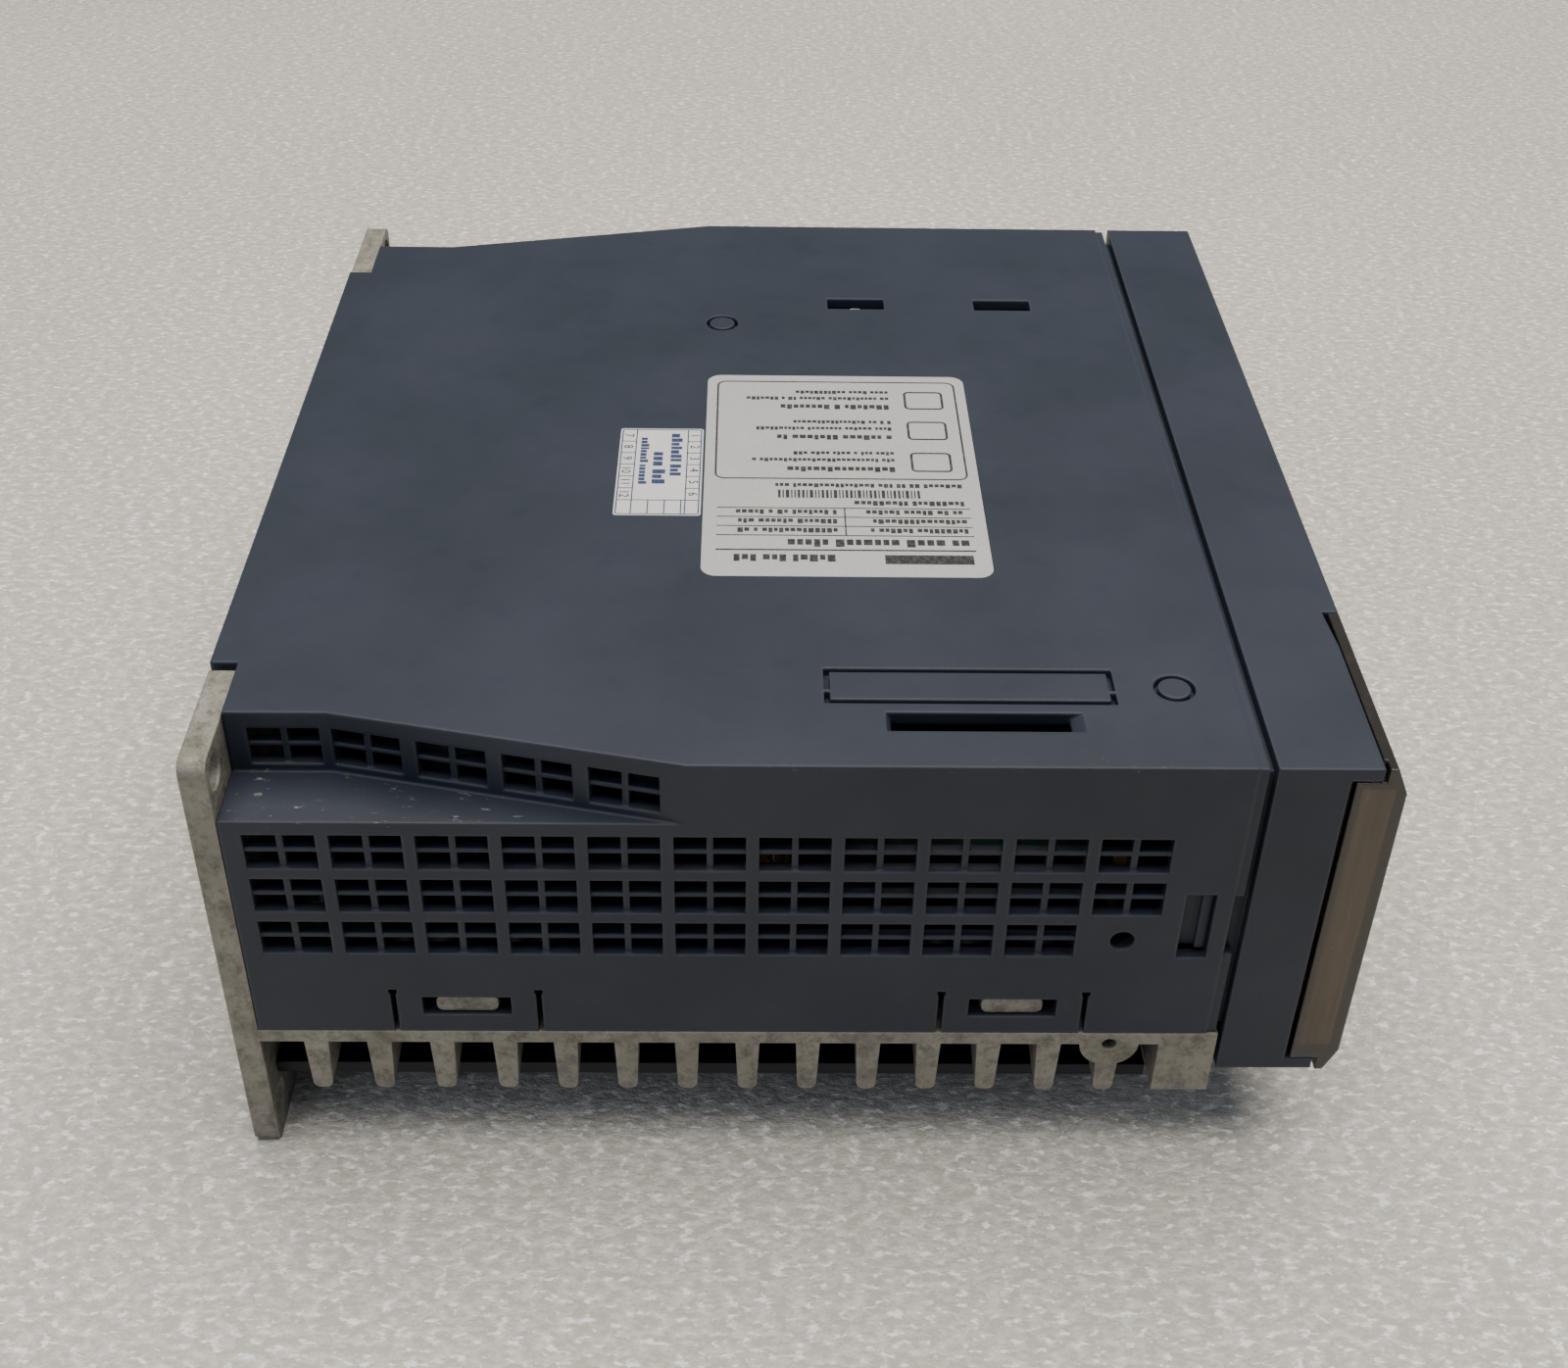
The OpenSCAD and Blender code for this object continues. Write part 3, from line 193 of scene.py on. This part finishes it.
def board_pattern(tree, place):
    """Solder resist over copper: pale pieces of track show faintly through a green darkened nearly to black
    as painted shade.
    """
    along = speckle(tree, place, 5, low=0.47, high=0.5, stretch=(1, 0.12, 1))
    across = speckle(tree, place, 5, low=0.5, high=0.53, stretch=(0.12, 1, 1))
    tracks = node(tree, "ShaderNodeMath", {0: along, 1: across}, operation="MULTIPLY")
    edges = node(tree, "ShaderNodeBevel", {"Radius": 0.1 * MM}, samples=BEVEL_RAYS)
    normal = node(tree, "ShaderNodeBump", {"Height": tracks, "Distance": 0.03 * MM,
                                           "Strength": 0.6, "Normal": edges})
    # Painted shade: the resist's green is darkened nearly to black, as the inside of the housing is shaded.
    return {"Base Color": coat(tree, "#081b12", "#102d1e", tracks), "Normal": normal}


def wound_pattern(tree, place):
    """Enamelled copper wire wound side by side: a sine of the angle about the choke's axis, with painted
    shade between the turns.
    """
    centre = [(a + b) / 2 for a, b in zip(*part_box("line_choke"))]
    centred = node(tree, "ShaderNodeMapping", {"Vector": place, "Location": [-c for c in centre]})
    x, y, _ = node(tree, "ShaderNodeSeparateXYZ", {"Vector": centred}).outputs
    angle = node(tree, "ShaderNodeMath", {0: y, 1: x}, operation="ARCTAN2")
    wires_per_radian = 56
    phase = node(tree, "ShaderNodeMath", {0: angle, 1: wires_per_radian}, operation="MULTIPLY")
    ridge = node(tree, "ShaderNodeMath", {0: phase}, operation="SINE")
    turns = node(tree, "ShaderNodeMapRange", {"Value": ridge, "From Min": -1})
    normal = node(tree, "ShaderNodeBump", {"Height": turns, "Distance": 0.4 * MM, "Strength": 1})
    # Painted shade: the colour darkens in the grooves between the turns.
    return {"Base Color": coat(tree, "#3c1f12", "#8f5733", turns), "Normal": normal}


def brushed_pattern(tree, place):
    """Zinc plating over turned steel: fine uneven rings and dull spots."""
    line = speckle(tree, place, 0.5, detail=4, stretch=(1, 1, 0.2))
    dull = speckle(tree, place, 3, detail=4, low=0.4)
    edges = node(tree, "ShaderNodeBevel", {"Radius": 0.2 * MM}, samples=BEVEL_RAYS)
    gloss = node(tree, "ShaderNodeMapRange", {"Value": dull, "To Min": 0.26, "To Max": 0.5})
    normal = node(tree, "ShaderNodeBump", {"Height": line, "Distance": 0.02 * MM,
                                           "Strength": 0.4, "Normal": edges})
    return {"Base Color": coat(tree, "#b4b5b4", "#8e8f8d", dull), "Roughness": gloss, "Normal": normal}


def film_pattern(tree, place):
    """Silvered polyester film: a soft sheen with fine flakes and a few rubbed spots."""
    flakes = speckle(tree, place, 0.5)
    rubbed = speckle(tree, place, 9, detail=5, rough=0.65, low=0.5, high=0.8)
    colour = coat(tree, coat(tree, "#b7babc", "#c3c5c6", flakes), "#b3b5b4", rubbed, 0.35)
    gloss = node(tree, "ShaderNodeMapRange", {"Value": rubbed, "To Min": 0.3, "To Max": 0.45})
    return {"Base Color": colour, "Roughness": gloss}


def paper_pattern(tree, place):
    """Coated paper: fibres about 0.4 mm long, and a faint yellowing."""
    fibre = speckle(tree, place, 0.4, detail=5, rough=0.7)
    aged = speckle(tree, place, 8, detail=3)
    normal = node(tree, "ShaderNodeBump", {"Height": fibre, "Distance": 0.01 * MM, "Strength": 0.5})
    return {"Base Color": coat(tree, "#bfc3c8", "#c8cacb", aged), "Normal": normal}


def smoked_pattern(tree, place):
    """Brown smoked polycarbonate: hazy rubs, and a lighter streaked strip in its end wall, painted light
    shining through it.
    """
    haze = speckle(tree, place, 6, detail=6, rough=0.7, low=0.5, high=0.8)
    streak = speckle(tree, place, 1.6, detail=5, rough=0.6, stretch=(1, 1, 0.05))
    x, y, z = node(tree, "ShaderNodeSeparateXYZ", {"Vector": place}).outputs
    low, high = [np.array(corner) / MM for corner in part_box("flip_cover")]
    # Painted light: the end wall's strip is coloured lighter where light shines through the wall.
    painted_lit_strip = patch(tree, (y, low[1] + 1.9, low[1] + 6.6, 0.3), (z, low[2] + 6.2, high[2] - 3.9, 0.3),
                    (x, low[0] - 1, low[0] + 2, 0.2))
    colour = coat(tree, coat(tree, "#413c37", "#4d4742", haze),
                  coat(tree, "#4d4131", "#7b6a53", streak), painted_lit_strip)
    gloss = node(tree, "ShaderNodeMapRange", {"Value": haze, "To Min": 0.16, "To Max": 0.34})
    edges = node(tree, "ShaderNodeBevel", {"Radius": 0.5 * MM}, samples=BEVEL_RAYS)
    return {"Base Color": colour, "Roughness": gloss, "Normal": edges}


def ink(tint):
    """Pattern of screen-printed ink that is slightly thin in places."""
    def pattern(tree, place):
        thin = speckle(tree, place, 0.7, detail=3, low=0.45, high=0.8)
        return {"Base Color": coat(tree, tint, "#77797b", thin, 0.4)}
    return pattern


def floor_pattern(tree, place):
    """Sealed cement floor: cloudy pale grey under a crinkled coat that sparkles every 1 to 3 mm, partly
    with painted white highlights.
    """
    cloud = speckle(tree, place, 180, detail=5)
    stain = speckle(tree, place, 60, detail=4, low=0.5, high=0.8, stretch=(1, 0.4, 1))
    crinkle = speckle(tree, place, 1.7, detail=5, rough=0.65, low=0.38, high=0.6, stretch=(1, 0.55, 1))
    painted_glint = speckle(tree, place, 1.3, detail=3, rough=0.6, low=0.55, high=0.66, stretch=(1, 0.5, 1))
    colour = coat(tree, "#d2d0c9", "#dedcd6", cloud)
    colour = coat(tree, colour, "#c8c2b7", stain, 0.3)
    colour = coat(tree, colour, "#a3a098", crinkle, 0.7)
    # Painted highlight: white flecks in the colour stand in for the coat's sparkle.
    colour = coat(tree, colour, "#ffffff", painted_glint)
    gloss = node(tree, "ShaderNodeMapRange", {"Value": crinkle, "To Min": 0.28, "To Max": 0.55})
    normal = node(tree, "ShaderNodeBump", {"Height": crinkle, "Distance": 0.4 * MM, "Strength": 0.7})
    return {"Base Color": colour, "Roughness": gloss, "Normal": normal}


SHELL = finish("moulded_abs_spark_eroded", shell_pattern, IOR=1.53, Specular_IOR_Level=0.3)
CASTING = finish("die_cast_aluminium_blasted", cast_pattern, Metallic=0.6)
# Painted shade: the navy plastic is darkened nearly to black to stand for the shade under the fins.
NAVY_AND_SHADE = finish("moulded_polypropylene_navy_and_painted_shade", moulded("#0b101d", "#101626"), IOR=1.49,
              Specular_IOR_Level=0.3)
PANEL = finish("moulded_abs_panel", moulded("#24282e", "#2b3037"), IOR=1.53)
SMOKED = finish("smoked_polycarbonate_clear", smoked_pattern, IOR=1.585, Transmission_Weight=0.6)
RED_PANE = finish("red_acrylic_pane", moulded("#7c1712", "#8d1c15", rough=(0.08, 0.14)), IOR=1.49,
                  Transmission_Weight=0.85)
CLEAR = finish("acrylic_light_pipe", moulded("#dfe4dc", "#e9ece6", rough=(0.1, 0.2)), IOR=1.49,
               Transmission_Weight=0.8)
BLACK = finish("moulded_nylon_black", moulded("#141416", "#1c1c1f"), IOR=1.53)
BARS = finish("display_bars_unlit", moulded("#b8473c", "#c65549", size=3), IOR=1.49)
BOARD = finish("circuit_board_resist", board_pattern, Roughness=0.3, IOR=1.5)
KEYS = finish("moulded_silicone_keys", moulded("#7d8289", "#878c93", rough=(0.5, 0.6)), IOR=1.43)
WHITE = finish("moulded_pbt_white", moulded("#cfccc2", "#d8d5cc"), IOR=1.55)
GREEN = finish("moulded_nylon_green", moulded("#1f5a3a", "#276845"), IOR=1.53)
GOLD = finish("gold_flashed_contacts", moulded("#c9a44c", "#d6b763", size=2, rough=(0.2, 0.3)),
              Metallic=1.0)
CREAM = finish("moulded_lcp_cream", moulded("#d3cebf", "#dcd8cb"), IOR=1.6)
TINNED = finish("tinned_steel_sheet", moulded("#a9adb2", "#b9bdc1", size=4, rough=(0.22, 0.34)),
                Metallic=1.0)
ZINC = finish("zinc_plated_steel", brushed_pattern, Metallic=1.0)
BRASS = finish("turned_brass", moulded("#857044", "#93804f", size=3, rough=(0.2, 0.32)), Metallic=1.0)
PAD = finish("silicone_thermal_pad", moulded("#9aa3b0", "#a7b0bc", rough=(0.6, 0.75)), IOR=1.43)
SLEEVE = finish("heat_shrink_sleeve", moulded("#14172a", "#1b1f36", rough=(0.2, 0.3)), IOR=1.54)
WIRE = finish("enamelled_copper_wire", wound_pattern, Roughness=0.3, Metallic=0.8)
FERRITE = finish("sintered_ferrite", moulded("#2b2724", "#38332e", size=2, rough=(0.4, 0.6)), IOR=2.0)
BLUE = finish("moulded_pbt_blue", moulded("#1c3a66", "#244675"), IOR=1.55)
CAPACITOR = finish("moulded_pbt_grey_box", moulded("#3f4247", "#4a4d52"), IOR=1.55)
FILM = finish("silvered_polyester_film", film_pattern, Metallic=0.25, IOR=1.6)
PAPER = finish("coated_paper", paper_pattern, Roughness=0.5, IOR=1.5)
INK = finish("screen_ink_black", ink("#1d1e20"), Roughness=0.45)
BLUE_INK = finish("screen_ink_blue", ink("#20305e"), Roughness=0.45)
FLOOR = finish("sealed_cement_floor", floor_pattern, IOR=1.5)

FINISHES = {
    SHELL: ["housing", "front_cover"],
    CASTING: ["heatsink"],
    NAVY_AND_SHADE: ["duct_plate"],
    PANEL: ["operator_panel"],
    SMOKED: ["flip_cover"],
    RED_PANE: ["display_window"],
    CLEAR: ["light_pipes"],
    BARS: ["display_segments"],
    BLACK: ["display_module", "control_chips", "board_link", "display_link", "power_module",
            "rectifier", "fan_frame", "fan_rotor"],
    BOARD: ["display_board", "control_board", "power_board"],
    KEYS: ["key_mode", "key_up", "key_down", "key_enter"],
    WHITE: ["key_switches", "indicator_leds", "inrush_relay", "fuse"],
    GREEN: ["supply_header", "motor_header"],
    GOLD: ["header_pins", "signal_contacts"],
    CREAM: ["io_connector", "encoder_connector"],
    TINNED: ["comm_socket_in", "comm_socket_out"],
    ZINC: ["duct_screws", "hinge_pins", "board_screws", "module_screws", "fan_shaft",
           "fan_screws", "ground_screws"],
    BRASS: ["low_standoffs", "high_standoffs"],
    PAD: ["thermal_pads"],
    SLEEVE: ["bus_capacitors"],
    WIRE: ["line_choke"],
    FERRITE: ["flyback_transformer"],
    BLUE: ["current_sensors"],
    CAPACITOR: ["film_capacitors"],
    FILM: ["rating_label"],
    PAPER: ["service_sticker"],
}
for material, names in FINISHES.items():
    for name in names:
        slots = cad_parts[name].data.materials
        slots.clear()
        slots.append(material)


# ---- Helpers for new pieces ----

def placed(name, data):
    """An object of this mesh, light, lens or text, put into the scene at the origin."""
    made = bpy.data.objects.new(name, data)
    bpy.context.scene.collection.objects.link(made)
    return made


def surface(name, points, faces, material):
    """A new mesh object at the origin, with its place in its mesh."""
    mesh = bpy.data.meshes.new(name)
    mesh.from_pydata(points.tolist(), [], faces)
    mesh.materials.append(material)
    return placed(name, mesh)


def piece(name, points, faces, material, slot, body=BODY):
    """A new piece of the drive, riding on a body."""
    made = surface(name, points, faces, material)
    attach(made, body)


BOX_CORNERS = np.array([[i, j, k] for k in (0, 1) for j in (0, 1) for i in (0, 1)])
BOX_FACES = np.array([[0, 2, 3, 1], [4, 5, 7, 6], [0, 1, 5, 4],
                      [1, 3, 7, 5], [3, 2, 6, 7], [2, 0, 4, 6]])


def boxes(low, high):
    """Points and faces of closed boxes: corner = low + (high - low) times each of the eight 0/1 triples."""
    low, high = np.atleast_2d(low), np.atleast_2d(high)
    points = low[:, None] + (high - low)[:, None] * BOX_CORNERS
    faces = BOX_FACES + 8 * np.arange(len(low))[:, None, None]
    return points.reshape(-1, 3), faces.reshape(-1, 4)


def joined(parts):
    """Points and faces of several (points, faces) pairs put into one mesh."""
    starts = np.cumsum([0] + [len(points) for points, _ in parts[:-1]])
    faces = np.concatenate([faces + start for (_, faces), start in zip(parts, starts)])
    return np.concatenate([points for points, _ in parts]), faces.tolist()


def band(path, half_width, low, high):
    """A rectangle carried round a closed flat path: each section lies along the path's local normal."""
    ahead, behind = np.roll(path, -1, axis=0), np.roll(path, 1, axis=0)
    tangent = (ahead - behind) / np.linalg.norm(ahead - behind, axis=1)[:, None]
    normal = np.column_stack([tangent[:, 1], -tangent[:, 0]])
    inner, outer = path - half_width * normal, path + half_width * normal
    rings = [np.column_stack([side, np.full(len(path), z)])
             for side, z in ((inner, low), (outer, low), (outer, high), (inner, high))]
    points = np.stack(rings, axis=1).reshape(-1, 3)
    i = np.arange(len(path))[:, None] * 4
    j = np.roll(i, -1, axis=0)
    k = np.arange(4)[None]
    n = (k + 1) % 4
    return points, np.stack([i + k, j + k, j + n, i + n], axis=2).reshape(-1, 4)


def rounded_outline(low, high, radius, steps=6):
    """Anticlockwise outline of a rectangle with round corners: quarter circles about inset corners."""
    turn = np.linspace(0, QUARTER, steps)
    arc = radius * np.column_stack([np.cos(turn), np.sin(turn)])
    quarter = np.array([[0, -1], [1, 0]])
    centres = [(high[0] - radius, high[1] - radius), (low[0] + radius, high[1] - radius),
               (low[0] + radius, low[1] + radius), (high[0] - radius, low[1] + radius)]
    return np.concatenate([np.array(c) + arc @ np.linalg.matrix_power(quarter.T, k)
                           for k, c in enumerate(centres)])


# ---- Printing on the labels ----

PRINT_T = 0.03 * MM  # thickness of printed ink


class Label:
    """A label's own frame, in mm from its lower left corner, with its print turned by whole quarters.

    With no quarter, right runs along +Y and up along -X; each quarter turns both clockwise.
    """

    def __init__(self, name, quarters=0):
        low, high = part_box(name)
        turn = -quarters * QUARTER
        self.turn = np.array([[math.cos(turn), -math.sin(turn)],
                              [math.sin(turn), math.cos(turn)]]).round()
        self.angle = QUARTER + turn
        self.height, self.width = np.abs(self.turn @ [high.x - low.x, high.y - low.y]) / MM
        middle = np.array([low.x + high.x, low.y + high.y]) / 2
        self.corner = middle + self.turn @ np.array([self.height, -self.width]) * MM / 2
        self.top = high.z

    def at(self, right, up):
        """World X and Y of points of the label: corner + turned (-up, right)."""
        unturned = np.column_stack([-np.atleast_1d(up), np.atleast_1d(right)]) * MM
        return self.corner + unturned @ self.turn.T

    def bars(self, left, bottom, right, top):
        """Printed bars between arrays of limits, as closed boxes that stand on the label."""
        left, bottom, right, top = [np.atleast_1d(np.asarray(a, float))
                                    for a in np.broadcast_arrays(left, bottom, right, top)]
        ends = np.stack([self.at(left, bottom), self.at(right, top)])
        level = np.full(len(left), self.top)
        return boxes(np.column_stack([ends.min(0), level - PRINT_T / 2]),
                     np.column_stack([ends.max(0), level + PRINT_T]))

    def outline(self, left, bottom, right, top, radius, width):
        """Printed frame line with round corners."""
        ends = np.concatenate([self.at(left, bottom), self.at(right, top)])
        path = rounded_outline(ends.min(0), ends.max(0), radius * MM)
        return band(path, width * MM / 2, self.top - PRINT_T / 2, self.top + PRINT_T)

    def words(self, left, bottom, length, size):
        """A line of stand-in print: word-long rows of plain bars, letter wide, with no lettering."""
        # A letter is about half as wide as its size; one in six ends a word and one in three is tall.
        count = int(length / (0.78 * size))
        widths = rng.uniform(0.42, 0.66, count) * size
        gaps = np.full(count, 0.17 * size)
        gaps[rng.random(count) < 0.16] = 0.55 * size
        starts = left + np.cumsum(widths + gaps) - widths
        tall = np.where(rng.random(count) < 0.35, 1.0, 0.74) * size
        keep = starts + widths < left + length
        return self.bars(starts[keep], bottom, (starts + widths)[keep], bottom + tall[keep])


def rating_print():
    """Rules, a table, a bar pattern and rows of stand-in print on the rating label."""
    label = Label("rating_label")
    parts = [label.outline(2.0, 2.4, 47.0, 37.6, 1.6, 0.35)]
    for bottom in (5.0, 16.2, 27.4):
        parts += [label.words(14.5, bottom + 6.1, 22, 1.7),
                  label.words(14.5, bottom + 3.2, 28, 1.2),
                  label.words(14.5, bottom + 0.8, 19, 1.2)]
        parts.append(label.outline(4.6, bottom + 1.2, 11.6, bottom + 7.4, 0.8, 0.45))
    parts += [label.words(3, 39.2, 34, 1.3), label.words(3, 44.9, 22, 1.5)]
    # Plain bars of three widths: a bar pattern that encodes nothing.
    widths = np.tile([0.45, 0.25, 0.25, 0.6, 0.25, 0.45], 6)
    starts = 10.5 + np.cumsum(widths + 0.33) - widths
    parts.append(label.bars(starts, 41.4, starts + widths, 44.0))
    rule, middle = 0.25, 24.2
    levels = 47.2 + 2.9 * np.arange(4)
    parts += [label.bars(2.4, levels, 46.6, levels + rule),
              label.bars(middle, levels[0], middle + rule, levels[-1])]
    for left in (3, middle + 1.3):
        for level in levels[:-1] + 0.7:
            parts.append(label.words(left, level, 18.5, 1.45))
    parts += [label.words(3, 57.2, 33, 2.3), label.bars(2.4, 60.3, 46.6, 60.7),
              label.bars(3, 61.9, 18, 64.6), label.words(26, 61.9, 19, 2.1)]
    piece("rating_label_print", *joined(parts), INK, "label_film")


def numerals(label, numbers, spots, size):
    """Points and faces of plain numerals as thin solids, each centred on its spot in the label's frame."""
    points, faces = [], []
    for number, (right, up) in zip(numbers, spots):
        text = bpy.data.curves.new("numeral", "FONT")
        text.body, text.size, text.extrude = str(number), size * MM, PRINT_T / 2
        text.align_x, text.align_y = "CENTER", "CENTER"
        text.resolution_u = 3
        holder = placed("numeral", text)
        bpy.context.view_layer.update()
        shown = holder.evaluated_get(bpy.context.evaluated_depsgraph_get())
        mesh = bpy.data.meshes.new_from_object(shown)
        spot = Matrix.Translation((*label.at(right, up)[0], label.top + PRINT_T / 2))
        mesh.transform(spot @ Matrix.Rotation(label.angle, 4, "Z"))
        faces += [[len(points) + i for i in face.vertices] for face in mesh.polygons]
        points += [tuple(vertex.co) for vertex in mesh.vertices]
        bpy.data.objects.remove(holder)
        bpy.data.curves.remove(text)
        bpy.data.meshes.remove(mesh)
    return np.array(points), faces


def sticker_print():
    """A ruled grid of cells with the plain numerals 1 to 12 along both long sides, and stand-in print."""
    label = Label("service_sticker", 3)
    wide, tall = label.width, label.height
    rule, row, column = 0.2, 2.9, 4.9
    cell = (wide - 0.5 - column) / 6
    levels = row * np.arange(2, 5)
    lines = [label.outline(0.4, 0.4, wide - 0.4, tall - 0.4, 0.4, 0.22),
             label.bars(0.5, [row, tall - row], wide - 0.5, [row + rule, tall - row + rule]),
             label.bars(wide - column - rule / 2, 0.5, wide - column + rule / 2, tall - 0.5),
             label.bars(wide - column, levels, wide - 0.5, levels + rule)]
    walls = 0.5 + np.arange(1, 6) * cell
    for low, high in ((0.5, row), (tall - row, tall - 0.5)):
        lines.append(label.bars(walls, low, walls + rule, high))
    lines += [label.words(2.5, 3.9, 17, 1.5), label.words(8, 6.3, 12, 2.3),
              label.words(1.5, 9.4, 16, 2.0)]
    piece("service_sticker_print", *joined(lines), BLUE_INK, "sticker_paper")
    middles = 0.5 + (np.arange(6) + 0.5) * cell
    spots = [(right, up) for up in (tall - row / 2 - 0.1, row / 2 + 0.1) for right in middles]
    piece("service_sticker_numerals", *numerals(label, range(1, 13), spots, 2.4), INK, "sticker_paper")


def key_mark(key, outline):
    """A flat convex mark on a key's face: its outline in X and Z, swept along Y by the ink's thickness."""
    low, high = [np.array(corner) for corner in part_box("key_" + key)]
    spots = (low + high)[[0, 2]] / 2 + np.asarray(outline) * MM
    n = len(spots)
    points = np.concatenate([np.column_stack([spots[:, 0], np.full(n, level), spots[:, 1]])
                             for level in (low[1] - PRINT_T, low[1] + PRINT_T / 2)])
    k, i = np.arange(1, n - 1), np.arange(n)
    j = np.roll(i, -1)
    front, back = (0 * k, k, k + 1), (0 * k + n, k + n + 1, k + n)
    sides = (i, i + n, j), (j, i + n, j + n)
    faces = np.concatenate([np.column_stack(corners) for corners in (front, back, *sides)])
    piece(f"key_{key}_mark", points, faces.tolist(), INK, "key_grey", key + "_key")


def key_marks():
    """A square, two arrowheads along the drive's height and a disc, one on each key."""
    turn = np.linspace(0, 2 * math.pi, 24, endpoint=False)
    key_mark("mode", [(-1.1, -1.1), (1.1, -1.1), (1.1, 1.1), (-1.1, 1.1)])
    key_mark("up", [(-1.4, 0), (1.0, -1.4), (1.0, 1.4)])
    key_mark("down", [(1.4, 0), (-1.0, 1.4), (-1.0, -1.4)])
    key_mark("enter", 1.2 * np.column_stack([np.cos(turn), np.sin(turn)]))


rating_print()
sticker_print()
key_marks()


# ---- Floor, light and camera ----

def floor():
    """A wide flat sheet under the drive, level with the flange's lower edge."""
    half = 6.0
    points = np.array([[-half, -half, 0], [half, -half, 0], [half, half, 0], [-half, half, 0]])
    surface("floor", points, [[0, 1, 2, 3]], FLOOR)


def softbox(name, place, aim, size, watts, tint):
    """A square area light at place that faces aim."""
    light = bpy.data.lights.new(name, "AREA")
    light.shape, light.size, light.energy = "SQUARE", size, watts
    light.color = linear(tint)[:3]
    away = np.array(place) - np.array(aim)
    side = np.cross([0.0, 1.0, 0.0], away)
    axes = [v / np.linalg.norm(v) for v in (side, np.cross(away, side), away)]
    turned = Matrix(np.column_stack(axes).tolist()).to_4x4()
    placed(name, light).matrix_world = Matrix.Translation(place) @ turned


def surroundings(strength, tint):
    """An even pale room all round."""
    world = bpy.data.worlds.new("room")
    world.use_nodes = True
    sky = world.node_tree.nodes["Background"].inputs
    sky["Color"].default_value, sky["Strength"].default_value = linear(tint), strength
    bpy.context.scene.world = world


def camera():
    """The camera stands beyond the vented end, looks down on the label side and rolls slightly."""
    eye = (-0.3197, 0.0074, 0.2739)
    heading, dip, roll = -1.32, 37.46, 1.19
    lens = bpy.data.cameras.new("camera")
    lens.sensor_width, lens.lens = 36, 46.26
    lens.clip_start = 0.01
    made = placed("camera", lens)
    made.matrix_world = (Matrix.Translation(eye) @ Matrix.Rotation(math.radians(heading - 90), 4, "Z")
                         @ Matrix.Rotation(math.radians(90 - dip), 4, "X")
                         @ Matrix.Rotation(math.radians(roll), 4, "Z"))
    bpy.context.scene.camera = made


floor()
softbox("ceiling_light", (0.1, -0.1, 1.45), (0, 0, 0.05), 1.5, 43, "#fff5e6")
softbox("side_light", (-1.2, 0.9, 1.1), (0, 0, 0.05), 1.2, 4, "#eaf2ff")
surroundings(0.27, "#dce6f4")
camera()
